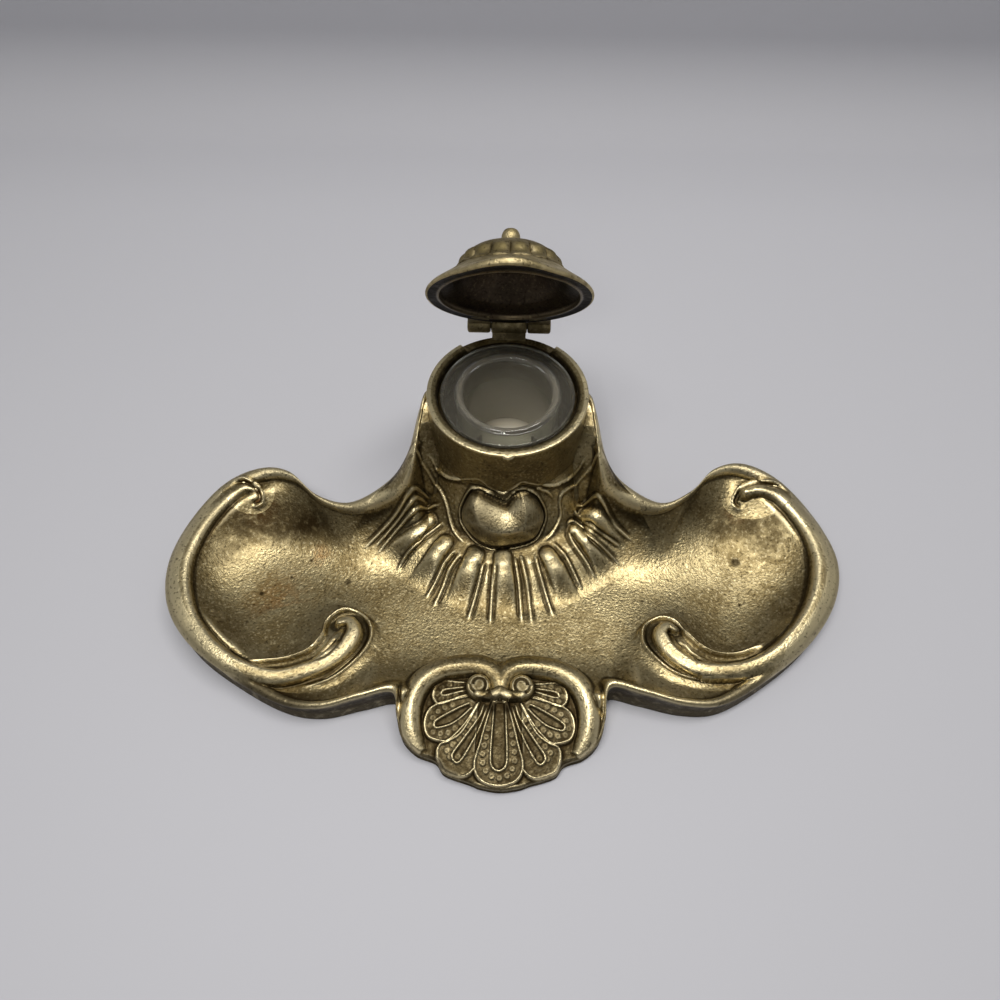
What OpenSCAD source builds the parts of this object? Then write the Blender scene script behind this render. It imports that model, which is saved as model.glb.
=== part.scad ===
// Desk inkstand: a cast brass pen tray with two scrolled dishes, a shell at the
// front and a round well that holds a pressed glass liner under a hinged lid.
// Millimetres. X runs across the dishes, Y runs to the back and Z is up.
// The origin is on the table at the middle of the stand's outer box.

/* [Tray] */
// Overall width across the two dishes
overall_w = 240; // [225:1:250]
// Height of the flat trough floor above the table
floor_z = 6; // [5.5:0.5:7]
// Thickness of the cast wall
wall = 2.8; // [2.2:0.1:3.2]

/* [Well] */
// Height of the well's rim above the table
rim_z = 52; // [50:0.5:54]
// Outer radius of the well
well_r = 28.3; // [28:0.1:29]
// Radius of the seat that takes the liner's flange
seat_r = 24.6; // [24.2:0.1:24.8]

/* [Glass liner] */
// Clearance round the liner's flange in its seat
liner_gap = 1; // [0.4:0.1:1.4]
// Radius of the liner's mouth
mouth_r = 15.5; // [14:0.1:15.8]

/* [Lid] */
// Radius of the lid's brim
brim_r = 27.7; // [27:0.1:28]
// Number of gadroons round the dome
gadroons = 16; // [12:1:18]
// Angle that the lid stands open from closed
open_angle = 60; // [0:5:100]

/* [Hinge] */
// Radius of the hinge pin
pin_r = 1.2; // [1:0.1:1.4]
// Width of the middle lug on the well
lug_w = 13.2; // [12:0.2:14]
// Width of each of the lid's two knuckles
knuckle_w = 8.6; // [7.6:0.2:9]

/* [Hidden] */
$fn = 96;

// Finishes
gilt_brass = [0.66, 0.55, 0.31];
dull_brass = [0.50, 0.45, 0.32];
dark_brass = [0.16, 0.13, 0.10];
grey_glass = [0.45, 0.47, 0.44, 0.5];

// Fits
running_gap = 0.05;   // pin in the lid's knuckles, on the radius
side_gap = 0.2;       // between lug and knuckles
rim_gap = 0.15;       // between the closed lid and the rim

// Hinge
axis_y = well_r + 3.2;      // behind the well's centre
axis_z = rim_z + 0.5;
lug_r = 2.9;
knuckle_r = 2.7;
pin_l = lug_w + 2 * (side_gap + knuckle_w);
notch_angle = 38;           // half of the arc where the rim's lip is cut away
notch_depth = 2;

// Lid
dome_top = 17.6;            // crown of the dome above the rim
neck_r = 1.7;
knob_r = 3.2;
knob_z = dome_top + 2.7;
gadroon_r = 3.1;
gadroon_ring = brim_r - 12.9;
gadroon_z = 11;
lip_r = 16;                 // thumb lip
lip_reach = 2.6;
recess_r = brim_r - 4.6;

// Liner
flange_r = seat_r - liner_gap;
flange_z = rim_z - 1;       // top of the flange
ledge_w = 2.4;              // the ledge that carries the flange
bore_relief = 2.8;          // how much wider the bore is below the ledge
flange_t = 2.4;
glass_t = 2.3;
glass_base_z = 9;
glass_floor_z = 14;

// The stand's outer box runs from the shell's tip to the open lid's knob.
shell_reach = 122.6;
lid_lift = rim_z + rim_gap - axis_z;
lid_back = axis_y - axis_y * cos(open_angle) + (knob_z + lid_lift) * sin(open_angle) + knob_r;
well_y = (shell_reach - lid_back) / 2;

// Trough
mid_y = -52;                // the trough's flat middle line, from the well's centre
mid_half = 4;
mid_share = 0.64;
mid_bow = 12;               // how far the line bows forward below the well's foot
mid_bow_w = 30;
lip_rise = 6.6;             // how far the trough climbs to the shell
lip_run = 38;
lip_half = 46;
lip_end = -95;
steps = 3;                  // rim stations from one outline point to the next
foot_t = 3.2;
cove = 0.9;
flare_rise = 29;            // the foot's height on the well's wall
flare_spread = 11;

// Rim outline, from behind the well and out round each dish to the shell:
// x, y, height, half the width of its rounded edge, steepness of the inner wall
left_rim = [
    [-24, 0, 40, 2.5, 2.4], [-30.4, -3.6, 46, 3, 2.4], [-34.6, -14.3, 37, 3.2, 2.4],
    [-43, -19.6, 26.5, 3.2, 2.4], [-57, -25.3, 19.5, 2.8, 2.4], [-70, -22.5, 19.5, 2.6, 2.6],
    [-82, -13, 21, 2.8, 3], [-94, -11.4, 20, 3, 4], [-107, -17.8, 17.5, 3.2, 5],
    [-117, -34, 15, 3.2, 6], [-120, -51, 14.5, 3.2, 6], [-115.8, -67, 14, 3.2, 6],
    [-105, -80, 13, 3, 5], [-89, -90.6, 12, 2.4, 4], [-72, -98.7, 11.5, 1.6, 3.4],
    [-59, -100.4, 12.5, 1.4, 3.2], [-46, -97.3, 14, 1.4, 3], [-35.5, -95, 14, 1.4, 3]
];
right_rim = [
    [24, 0, 40, 2.5, 2.4], [31, -3.6, 46, 3, 2.4], [34.9, -14.3, 37, 3.2, 2.4],
    [43, -18.6, 27, 3.2, 2.4], [57, -23.4, 20.5, 2.8, 2.4], [69, -18, 20.5, 2.6, 2.6],
    [79, -7.8, 21, 2.8, 3], [91, -4.5, 20, 3, 4], [104.5, -10.7, 17.5, 3.2, 5],
    [115.5, -26, 15, 3.2, 6], [120, -43, 14.5, 3.2, 6], [115.8, -59, 14, 3.2, 6],
    [105, -73.5, 13, 3, 5], [90, -85.6, 12, 2.4, 4], [73, -95.4, 11.5, 1.6, 3.4],
    [60, -96.6, 12.5, 1.4, 3.2], [46, -93.7, 14, 1.4, 3], [35.5, -92, 14, 1.4, 3]
];
// Half of the shell's scalloped edge, from its corner to the tip
shell_rim = [
    [33.8, -101, 9.5, 1.4, 3], [31.8, -107.4, 7.5, 1.4, 3], [27, -112, 5.6, 1.3, 3],
    [20.6, -114.4, 4.8, 1.2, 3], [17.4, -118, 4.6, 1.2, 3], [9.4, -120.6, 4.4, 1.2, 3],
    [6, -121.8, 4.4, 1.2, 3]
];
shell_tip = [0, -shell_reach, 4.4, 1.2, 3];
well_back = [0, 4, 32, 2.5, 2.4];

// Rolled rims, as x, y, height of the middle, half width, half height
left_roll = [
    [-92.5, -19, 14.6, 2.4, 2.4], [-97, -18.6, 14.4, 3.6, 3.6], [-104, -22.6, 13, 4.6, 4.6],
    [-110, -31.4, 11.8, 5, 5], [-113.8, -42, 11.2, 5.2, 5.2], [-114.6, -52, 11, 5.2, 5.2],
    [-112.4, -61.6, 10.8, 5, 5], [-107.4, -71, 10.8, 4.5, 4.5], [-100.2, -79, 10.8, 4, 4],
    [-91.5, -85.4, 10.8, 3.5, 3.5], [-82, -89.1, 10.6, 3.1, 3.1], [-73.5, -90.2, 10.4, 2.8, 2.8],
    [-65.5, -87.8, 10, 2.9, 2.6], [-58.5, -84, 9.8, 3, 2.4], [-53, -78.5, 9.7, 3, 2.3],
    [-50.8, -73, 9.6, 2.7, 2.1], [-53, -69, 9.4, 2.1, 1.8], [-56.5, -69.5, 9.2, 1.4, 1.4]
];
right_roll = [
    [89.5, -18.6, 14.6, 2.4, 2.4], [94.5, -14.2, 14.4, 3.6, 3.6], [103, -16.6, 13, 4.6, 4.6],
    [109, -24.2, 11.8, 5, 5], [112.8, -33, 11.2, 5.2, 5.2], [114.1, -43.5, 11, 5.2, 5.2],
    [112, -53.6, 10.8, 5, 5], [107.2, -63, 10.8, 4.5, 4.5], [100.6, -71.2, 10.8, 4.1, 4.1],
    [92.3, -78.6, 10.8, 3.6, 3.6], [83, -83.4, 10.6, 3.2, 3.2], [74, -85, 10.4, 3, 3],
    [66, -84, 10, 2.9, 2.6], [60, -80.6, 9.8, 3, 2.4], [55.5, -75.5, 9.7, 2.9, 2.3],
    [54, -71, 9.6, 2.4, 2.1], [56.5, -68.2, 9.4, 1.8, 1.7], [59.5, -69.5, 9.2, 1.3, 1.3]
];
left_scroll = [-57, -78];
right_scroll = [59, -76];

// Shell
arm = [
    [7.5, -97, 12, 1.4, 1.4], [2.2, -95, 13, 2, 2], [1.6, -90.5, 13, 2.3, 2.3],
    [7, -87.3, 12.6, 2.6, 2.6], [15, -87, 12.4, 2.8, 2.8], [22, -89.6, 12, 2.8, 2.8],
    [27.4, -95, 11.4, 2.8, 2.8], [29.2, -101, 9.8, 2.8, 2.8], [27.4, -107, 7.4, 2.6, 2.6],
    [23, -111.4, 5.2, 1.8, 1.8]
];
eye = [6.8, -93.2, 11.8];
eye_r = 3.8;
shell_top = [0, -88, 13.2]; // highest point of the shell's dome
shell_fall = 0.27;
shell_squeeze = 0.8;
shell_mid = [0, -101];
shell_half = [29.5, 17];
shell_front = 24;           // the same from its middle to its tip
// Lobes of the fan from the middle to the right: root x, y, tip x, y, half width
lobes = [
    [0, -98, 0, -121.8, 6.8], [4.2, -98, 15.4, -118.6, 5.2],
    [8.6, -97.6, 23.2, -106, 4.4], [10.4, -93.6, 21.8, -93.8, 3.3]
];

// Boss on the well's flared foot
boss_r = 34.8;              // from the well's middle
boss_z = 21;
boss_half = 24;             // half of its arc, in degrees
boss_w = 10.4;              // half of its height on the slope
boss_t = 3.2;
boss_tilt = 54;
boss_rise = 2.4;            // how much its two ends turn up

// ---- curves ----
function smooth_step(t) = let (u = min(max(t, 0), 1)) u * u * (3 - 2 * u);
function smooth_max(a, b, k) = (a + b + sqrt((a - b) * (a - b) + k * k)) / 2;
function turn(p) = [for (i = [len(p) - 1:-1:0]) p[i]];
function mirrored(p) = [for (q = p) concat([-q[0]], [for (i = [1:len(q) - 1]) q[i]])];

// Catmull-Rom curve through b and c
function between(a, b, c, d, t) =
    (2 * b + (c - a) * t + (2 * a - 5 * b + 4 * c - d) * t * t + (3 * b - a - 3 * c + d) * t * t * t) / 2;
function closed_curve(p, n) = let (m = len(p))
    [for (i = [0:m - 1], k = [0:n - 1])
        between(p[(i + m - 1) % m], p[i], p[(i + 1) % m], p[(i + 2) % m], k / n)];
function open_curve(p, n) = let (m = len(p))
    concat([for (i = [0:m - 2], k = [0:n - 1])
        between(p[max(i - 1, 0)], p[i], p[i + 1], p[min(i + 2, m - 1)], k / n)], [p[m - 1]]);

// A closed skin over rings that all have the same number of points
module skin(rings) {
    m = len(rings);
    n = len(rings[0]);
    sides = [for (j = [0:m - 2], i = [0:n - 1], half = [0, 1])
        let (a = j * n + i, b = j * n + (i + 1) % n)
        half == 0 ? [a, b, b + n] : [a, b + n, a + n]];
    ends = [[for (i = [n - 1:-1:0]) i], [for (i = [0:n - 1]) (m - 1) * n + i]];
    polyhedron([for (r = rings, p = r) p], concat(ends, sides), convexity = 10);
}

// A rod of oval section along a path of x, y, z, half width, half height, rolled over by tilt
module rod(path, sides, tilt = 0) {
    m = len(path);
    skin([for (i = [0:m - 1])
        let (
            ahead = path[min(i + 1, m - 1)],
            behind = path[max(i - 1, 0)],
            t = [for (k = [0:2]) ahead[k] - behind[k]],
            flat = norm([t[0], t[1]]),
            side = [t[1], -t[0], 0] / flat,
            up = cross(side, t) / norm(t)
        )
        [for (k = [0:sides - 1])
            let (a = 360 * k / sides, u = path[i][3] * cos(a), v = path[i][4] * sin(a))
            [path[i][0], path[i][1], path[i][2]]
                + side * (u * cos(tilt) + v * sin(tilt)) + up * (v * cos(tilt) - u * sin(tilt))]]);
}

// ---- tray ----
function flare(x, y) = let (r = max(norm([x, y]), seat_r)) 3 + flare_rise * exp((well_r - r) / flare_spread);
function mound(x, y) = let (
    s = x < 0 ? left_scroll : right_scroll,
    r = norm([x - s[0], y - s[1]])
) 3.6 * exp(-r * r / 130);
function shell_dome(x, y) = shell_top[2] - shell_fall * norm([x * shell_squeeze, y - shell_top[1]]);
function shell_share(x, y) = let (
    reach = norm([x / shell_half[0], (y - shell_mid[1]) / (y < shell_mid[1] ? shell_front : shell_half[1])])
) smooth_step((1.15 - reach) / 0.3);
function lip_slope(y) = floor_z + lip_rise * pow(min(max((mid_y - mid_half - y) / lip_run, 0), 1), 3);
function lip_share(x, y) = smooth_step((lip_half - abs(x)) / 9) * smooth_step((mid_y - y) / 8)
    * (1 - smooth_step((lip_end - y) / 8));

// Height of the trough at a share g of the way from its middle line to the rim
function top_z(x, y, g, rim) = let (
    wall_rise = floor_z + (rim[2] - rim[3] - floor_z) * pow(g, rim[4]),
    trough = wall_rise + (lip_slope(y) - wall_rise) * lip_share(x, y) * smooth_step((1 - g) * 12)
        * smooth_step(g * 6),
    bowl = trough + mound(x, y) * smooth_step(g * 3),
    blend = bowl + (smooth_max(bowl, flare(x, y), 1.5) - bowl) * smooth_step(g * 8)
) blend + (shell_dome(x, y) - blend) * shell_share(x, y) * smooth_step((1 - g) * 8);

function middle(rim) = [
    rim[0] * mid_share,
    mid_y - mid_bow * exp(-pow(rim[0] * mid_share / mid_bow_w, 2))
        + mid_half * min(max((rim[1] - mid_y) / 30, -1), 1)
];
function inset(rim, d) = let (
    o = [rim[0], rim[1]],
    c = middle(rim)
) o + (c - o) * d / norm(c - o);
function span(rim) = norm(middle(rim) - [rim[0], rim[1]]);
function at(rim, g) = inset(rim, 2 * rim[3] + (span(rim) - 2 * rim[3]) * (1 - g));
function on_top(rim, g, drop) = let (p = at(rim, g)) [p[0], p[1], top_z(p[0], p[1], g, rim) - drop];
function on_edge(rim, a) = let (p = inset(rim, rim[3] * (1 - cos(a))))
    [p[0], p[1], rim[2] + rim[3] * (sin(a) - 1)];
function on_skirt(rim, d, z) = let (p = inset(rim, d)) [p[0], p[1], z];

module tray_skin() {
    rim = closed_curve(concat([well_back], left_rim, mirrored(shell_rim), [shell_tip],
        turn(shell_rim), turn(right_rim)), steps);
    skin(concat(
        [for (g = [0, 0.18, 0.36, 0.54, 0.7, 0.84, 0.94]) [for (r = rim) on_top(r, g, 0)]],
        [for (a = [180, 140, 100, 65, 30, 0]) [for (r = rim) on_edge(r, a)]],
        [[for (r = rim) on_skirt(r, cove, (r[2] - r[3]) * 0.5)]],
        [[for (r = rim) on_skirt(r, 0, 0)]],
        [[for (r = rim) on_skirt(r, foot_t, 0)]],
        [[for (r = rim) on_skirt(r, foot_t + 0.3, max(r[2] - r[3] - wall - 0.8, 0.6))]],
        [for (g = [0.9, 0.75, 0.5, 0.25, 0]) [for (r = rim) on_top(r, g, wall)]]
    ));
}

module rolls() {
    rod(open_curve(left_roll, 2), 8);
    rod(open_curve(right_roll, 2), 8);
}

module shell_scroll() {
    rod(open_curve(arm, 2), 8);
    translate(eye) sphere(eye_r, $fn = 16);
}

module shell_lobe(root_x, root_y, tip_x, tip_y, half) {
    l = norm([tip_x - root_x, tip_y - root_y]);
    widest = 1 - half / l;
    rod([for (t = [0.04, 0.3, 0.6, widest, 1 - half * 0.5 / l, 1 - half * 0.15 / l, 1])
        let (
            x = root_x + (tip_x - root_x) * t,
            y = root_y + (tip_y - root_y) * t,
            w = t < widest ? 1 + (half - 1) * pow(t / widest, 0.9)
                : half * sqrt(max(1 - pow((t - widest) * l / half, 2), 0.02))
        )
        [x, y, shell_dome(x, y) - 0.5, w, 0.9 + w * 0.25]], 6);
}

module shell_relief() {
    for (side = [0, 1]) mirror([side, 0, 0]) {
        shell_scroll();
        for (i = [1:len(lobes) - 1])
            shell_lobe(lobes[i][0], lobes[i][1], lobes[i][2], lobes[i][3], lobes[i][4]);
    }
    shell_lobe(lobes[0][0], lobes[0][1], lobes[0][2], lobes[0][3], lobes[0][4]);
}

module well_boss() {
    rod([for (t = [-1, -0.94, -0.75, -0.4, 0, 0.4, 0.75, 0.94, 1])
        let (a = boss_half * t, round_off = sqrt(1 - t * t * 0.98))
        [(boss_r - boss_rise * t * t) * sin(a), -(boss_r - boss_rise * t * t) * cos(a),
            boss_z + boss_rise * t * t, boss_w * round_off, boss_t * round_off]],
        10, boss_tilt);
}

module cast_forms() {
    resize([overall_w, 0, 0]) {
        tray_skin();
        rolls();
        shell_relief();
        well_boss();
    }
}

module well_wall() {
    rotate_extrude() polygon([
        [seat_r - 6, 0], [well_r, 0], [well_r, rim_z - 1],
        [well_r - 0.3, rim_z - 0.3], [well_r - 1, rim_z], [seat_r - 6, rim_z]
    ]);
    // nub under the lid's thumb lip
    translate([0, -well_r + 0.4, rim_z - 3]) cylinder(r = 2.1, h = 2.4);
}

module hinge_lug() {
    translate([-lug_w / 2, 0, 0]) rotate([90, 0, 90]) linear_extrude(lug_w) {
        translate([axis_y, axis_z]) circle(lug_r);
        polygon([
            [well_r - 2, rim_z - 14], [well_r - 0.2, rim_z - 14], [axis_y + lug_r * 0.96, axis_z - 0.8],
            [axis_y, axis_z], [axis_y - lug_r * 0.6, axis_z - 1.6], [well_r - 2, axis_z - 2.2]
        ]);
    }
}

module hinge_bore(r) {
    translate([-pin_l, axis_y, axis_z]) rotate([0, 90, 0]) cylinder(r = r, h = 2 * pin_l);
}

module rim_notch() {
    reach = well_r + 1;
    intersection() {
        translate([0, 0, rim_z - notch_depth]) cylinder(r = reach, h = notch_depth + 1);
        translate([0, 0, rim_z - notch_depth - 1]) linear_extrude(notch_depth + 3)
            polygon([[0, 0], [reach * 2 * sin(notch_angle), reach * 2 * cos(notch_angle)],
                [-reach * 2 * sin(notch_angle), reach * 2 * cos(notch_angle)]]);
    }
}

module tray_casting() {
    color(gilt_brass) translate([0, well_y, 0]) difference() {
        union() {
            cast_forms();
            difference() {
                well_wall();
                rim_notch();
            }
            hinge_lug();
        }
        translate([0, 0, flange_z - flange_t]) cylinder(r = seat_r, h = rim_z);
        translate([0, 0, -1]) cylinder(r = seat_r - ledge_w, h = rim_z + 2);
        translate([0, 0, -1]) cylinder(r = seat_r - ledge_w + bore_relief, h = flange_z - flange_t - 2);
        hinge_bore(pin_r);
    }
}

module glass_liner() {
    body_r = mouth_r + glass_t;
    color(grey_glass) translate([0, well_y, 0]) rotate_extrude() polygon([
        [0, glass_base_z + 0.8], [body_r - 4.5, glass_base_z], [body_r - 2.5, glass_base_z],
        [body_r - 0.7, glass_base_z + 0.9], [body_r, glass_base_z + 3],
        [body_r, flange_z - flange_t], [flange_r - 0.4, flange_z - flange_t],
        [flange_r, flange_z - flange_t + 0.4], [flange_r, flange_z - 0.5],
        [flange_r - 0.5, flange_z], [body_r + 0.6, flange_z], [body_r, flange_z + 0.3],
        [body_r - 0.9, flange_z + 0.7], [mouth_r + 0.4, flange_z + 0.5], [mouth_r, flange_z - 0.4],
        [mouth_r, glass_floor_z + 4], [mouth_r - 1.4, glass_floor_z + 1.2],
        [mouth_r - 4, glass_floor_z], [0, glass_floor_z - 0.5]
    ]);
}

// ---- lid, drawn closed with its brim on z = 0 and its middle on the Z axis ----
module lid_outside() {
    rotate_extrude() polygon([
        [0, 0], [brim_r, 0], [brim_r, 0.9], [brim_r - 0.9, 1.9], [brim_r - 3.2, 3],
        [brim_r - 5.7, 4.4], [brim_r - 7.9, 6.2], [brim_r - 9.3, 8], [brim_r - 10.3, 9.4],
        [brim_r - 11.7, 10.2], [brim_r - 11.9, dome_top - 5.4], [brim_r - 12.9, dome_top - 3.6],
        [12, dome_top - 2.2], [8, dome_top - 1], [4, dome_top - 0.3], [neck_r, dome_top - 0.1],
        [neck_r, knob_z], [0, knob_z]
    ]);
}

module lid_hollow() {
    rotate_extrude() polygon([
        [0, -1], [recess_r, -1], [recess_r, 1], [recess_r - 2.1, 2.6], [recess_r - 4.5, 4.2],
        [recess_r - 6.5, 6.4], [recess_r - 8.1, 8.6], [recess_r - 9.7, 10.4],
        [recess_r - 11.7, dome_top - 5.2], [6, dome_top - 2.8], [0, dome_top - 2.2]
    ]);
}

module knob() {
    translate([0, 0, knob_z]) sphere(knob_r);
}

module gadroon_band() {
    for (i = [0:gadroons - 1])
        rotate([0, 0, 360 * (i + 0.5) / gadroons])
            translate([gadroon_ring, 0, gadroon_z]) sphere(gadroon_r);
}

module thumb_lip() {
    translate([0, lip_r - brim_r - lip_reach, 0.3]) cylinder(r = lip_r, h = 1.7);
}

module knuckle(side) {
    x0 = side > 0 ? lug_w / 2 + side_gap : -lug_w / 2 - side_gap - knuckle_w;
    translate([x0, 0, 0]) rotate([90, 0, 90]) linear_extrude(knuckle_w) {
        translate([axis_y, axis_z - rim_z - rim_gap]) circle(knuckle_r);
        polygon([
            [axis_y - 0.5, axis_z - rim_z - rim_gap + knuckle_r],
            [brim_r - 6, 3.4], [brim_r - 6, 0.2], [axis_y - 1, 0.2]
        ]);
    }
}

module lid_closed() {
    difference() {
        union() {
            lid_outside();
            knob();
            gadroon_band();
            thumb_lip();
            knuckle(1);
            knuckle(-1);
        }
        lid_hollow();
        translate([0, 0, -rim_z - rim_gap]) hinge_bore(pin_r + running_gap);
    }
}

module lid_casting() {
    color(dull_brass) translate([0, well_y + axis_y, axis_z]) rotate([-open_angle, 0, 0])
        translate([0, -axis_y, lid_lift]) lid_closed();
}

module hinge_pin() {
    color(dark_brass) translate([-pin_l / 2, well_y + axis_y, axis_z])
        rotate([0, 90, 0]) cylinder(r = pin_r, h = pin_l);
}

tray_casting();
glass_liner();
lid_casting();
hinge_pin();
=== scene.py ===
# Desk inkstand: a cast brass pen tray with two scrolled dishes, a shell at the
# front and a round well that holds a pressed glass liner under a hinged lid.
# Lengths are millimetres from the middle of the well until a mesh is made.
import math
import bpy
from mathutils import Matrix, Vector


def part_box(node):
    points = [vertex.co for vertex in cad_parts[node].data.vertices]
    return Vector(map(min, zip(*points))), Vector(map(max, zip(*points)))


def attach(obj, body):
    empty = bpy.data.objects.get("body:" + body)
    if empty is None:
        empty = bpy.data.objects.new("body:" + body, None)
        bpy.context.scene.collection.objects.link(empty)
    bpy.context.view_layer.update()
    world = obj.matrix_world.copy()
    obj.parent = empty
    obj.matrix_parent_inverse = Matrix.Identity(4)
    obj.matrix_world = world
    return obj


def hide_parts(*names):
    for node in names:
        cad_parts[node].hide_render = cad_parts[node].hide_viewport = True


bl_info = {
    "name": "Desk inkstand",
    "version": (1, 0, 0),
    "blender": (4, 5, 0),
    "location": "View3D > Sidebar > Inkstand",
    "description": "Builds a cast brass inkstand with a glass liner round the packed model",
    "category": "Object",
}

import bpy
import numpy as np
from mathutils import Vector
from mathutils.bvhtree import BVHTree

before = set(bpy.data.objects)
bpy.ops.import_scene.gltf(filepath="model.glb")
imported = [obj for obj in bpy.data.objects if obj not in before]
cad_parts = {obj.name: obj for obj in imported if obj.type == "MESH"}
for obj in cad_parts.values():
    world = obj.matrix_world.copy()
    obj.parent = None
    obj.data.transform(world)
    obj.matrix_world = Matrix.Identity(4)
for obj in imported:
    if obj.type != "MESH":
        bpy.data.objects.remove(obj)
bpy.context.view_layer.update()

MM = 0.001
LINER_LOW, LINER_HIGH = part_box("glass_liner")
PIN_LOW, PIN_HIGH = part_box("hinge_pin")
WELL_Y = (LINER_LOW.y + LINER_HIGH.y) / 2

# Well, from the table up, and the seat that the liner's flange hangs in
RIM_Z = 52.0
WELL_R = 28.3
SEAT_R = 24.6
SEAT_DEPTH = 3.4
LEDGE_W = 2.4
LEDGE_T = 2.0
BORE_RELIEF = 0.4

# Glass liner
FLANGE_R = 23.6
FLANGE_T = 2.4
MOUTH_R = 15.5
GLASS_WALL = 2.3

# Hinge behind the well: its axis, the middle lug and the lid's two knuckles
AXIS_Y = WELL_R + 3.2
AXIS_Z = RIM_Z + 0.5
LUG_W = 13.2
KNUCKLE_W = 8.6
SIDE_GAP = 0.2
PIN_R = 1.2
OPEN_ANGLE = 60.0
# Low part of the well's rim behind: half its turn and its fade in degrees, and its depth
NOTCH_ANGLE = 38.5
NOTCH_FADE = 1.4
NOTCH_DEPTH = 2.0

# Lid: its gap over the rim, its radius, its top over the brim, and its hollow's radius
RIM_GAP = 0.15
BRIM_R = 27.7
DOME_TOP = 17.6
RECESS_R = BRIM_R - 4.6

# Tray: its floor, its wall, and the foot under its edge
FLOOR_Z = 6.0
WALL = 2.8
FOOT_T = 3.2
FOOT_BEVEL = 0.3
FOOT_EASE = 0.4
COVE = 0.9
COVE_STEPS = (0.25, 0.5, 0.75)
UNDER_DROP = 0.8
UNDER_LOW = 0.6
UNDER_SHARES = (0.9, 0.75, 0.55, 0.35, 0.15, 0)

# Web beside the well: turn from the front in degrees, its height at the well's wall there,
# and how much it rises with each millimetre outwards
WEB_TURN = (46, 52, 56, 60, 64, 68, 72, 78, 84, 90)
WEB_Z = (24, 28, 31, 34.5, 38.5, 42, 44.6, 46.8, 48.1, 48.7)
WEB_RISE = (-1.6, -1.1, -0.7, -0.3, 0, 0.2, 0.2, 0.15, 0.1, 0.1)
WEB_REACH = 40.0
WEB_FADE = 6.0

# Flare of the well's foot
FLARE_LOW = 3.0
FLARE_RISE = 29.0
FLARE_SPREAD = 11.0
FLARE_FILLET = 1.5

# Middle line of the trough: bowed forward at the well and shifted in the dishes
MID_Y = -52.0
MID_HALF = 4.0
MID_SLIVER = 0.15
MID_SHARE = 0.64
MID_BOW = 12.0
MID_BOW_W = 30.0
MID_RUN = 30.0
DISH_SHIFT = 7.0
SHIFT_X = 30.0
SHIFT_RUN = 25.0

# Dishes: the dip in their floor and the hollow curve of their wall
DISH_DIP = 1.6
DISH_X = 79.0
DISH_Y = -56.0
DISH_SPREAD = 420.0
DISH_WALL = 6.0
DISH_WALL_X = 78.0
DISH_WALL_RUN = 22.0

# Lip that rises to the front edge beside the shell
LIP_RISE = 6.6
LIP_RUN = 38.0
LIP_HALF = 46.0
LIP_END = -95.0
LIP_SIDE_FADE = 9.0
LIP_FADE = 8.0

# Dome under the shell's ornament
SHELL_TOP = (0.0, -88.0, 13.2)
SHELL_FALL = 0.27
SHELL_SQUEEZE = 0.8
SHELL_MID_Y = -101.0
SHELL_HALF = (29.5, 17.0)
SHELL_FRONT = 24.0
SHELL_EDGE = 1.15
SHELL_FADE = 0.3

# Swelling that each scroll's curl stands on
SCROLL_LEFT = (-57.0, -78.0)
SCROLL_RIGHT = (59.0, -76.0)
SCROLL_RISE = 3.6
SCROLL_SPREAD = 130.0

# How soon each form gives way to the edge: 1 over the share of the way that it takes
LIP_BLEND = 12.0
WALL_BLEND = 8.0
DIP_BLEND = 3.0

# Rim outline from behind the well, out round each dish to the shell:
# x, y, height, half the width of its rounded edge, steepness of the inner wall
LEFT_RIM = (
    (-24, 6, 46, 2, 2.4), (-29, 3, 49, 2.2, 3), (-31.4, -4, 46.5, 3.2, 4),
    (-35.4, -14.6, 37, 4.2, 5), (-43, -19.6, 26.5, 4.2, 4), (-57, -25.3, 19.5, 2.8, 2.2),
    (-70, -22.5, 19.5, 2.6, 2), (-82, -13, 21, 2.8, 2), (-94, -11.4, 20, 3, 2.4),
    (-107, -17.8, 17.5, 3.2, 3.2), (-117, -34, 15, 3.2, 3.6), (-120, -51, 14.5, 3.2, 3.6),
    (-115.8, -67, 14, 3.2, 3.6), (-105, -80, 13, 3, 3.2), (-89, -90.6, 12, 2.4, 3),
    (-72, -98.7, 11.5, 1.6, 3.4),
    (-59, -100.4, 12.5, 1.4, 3.2), (-46, -97.3, 14, 1.4, 3), (-35.5, -95, 14, 1.4, 3),
)
RIGHT_RIM = (
    (24, 6, 46, 2, 2.4), (29.2, 3, 49, 2.2, 3), (31.8, -4, 46.5, 3.2, 4),
    (35.7, -14.6, 37, 4.2, 5), (43, -18.6, 27, 4.2, 4), (57, -23.4, 20.5, 2.8, 2.2),
    (69, -18, 20.5, 2.6, 2), (79, -7.8, 21, 2.8, 2), (91, -4.5, 20, 3, 2.4),
    (104.5, -10.7, 17.5, 3.2, 3.2), (115.5, -26, 15, 3.2, 3.6), (120, -43, 14.5, 3.2, 3.6),
    (115.8, -59, 14, 3.2, 3.6), (105, -73.5, 13, 3, 3.2), (90, -85.6, 12, 2.4, 3),
    (73, -95.4, 11.5, 1.6, 3.4),
    (60, -96.6, 12.5, 1.4, 3.2), (46, -93.7, 14, 1.4, 3), (35.5, -92, 14, 1.4, 3),
)
SHELL_RIM = (
    (33.8, -101, 9.5, 1.4, 3), (31.8, -107.4, 7.5, 1.4, 3), (27, -112, 5.6, 1.3, 3),
    (20.6, -114.4, 4.8, 1.2, 3), (17.4, -118, 4.6, 1.2, 3), (9.4, -120.6, 4.4, 1.2, 3),
    (6, -121.8, 4.4, 1.2, 3),
)
SHELL_TIP = (0, -122.6, 4.4, 1.2, 3)
WELL_BACK = (0, 10, 42, 2, 2.4)

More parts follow.
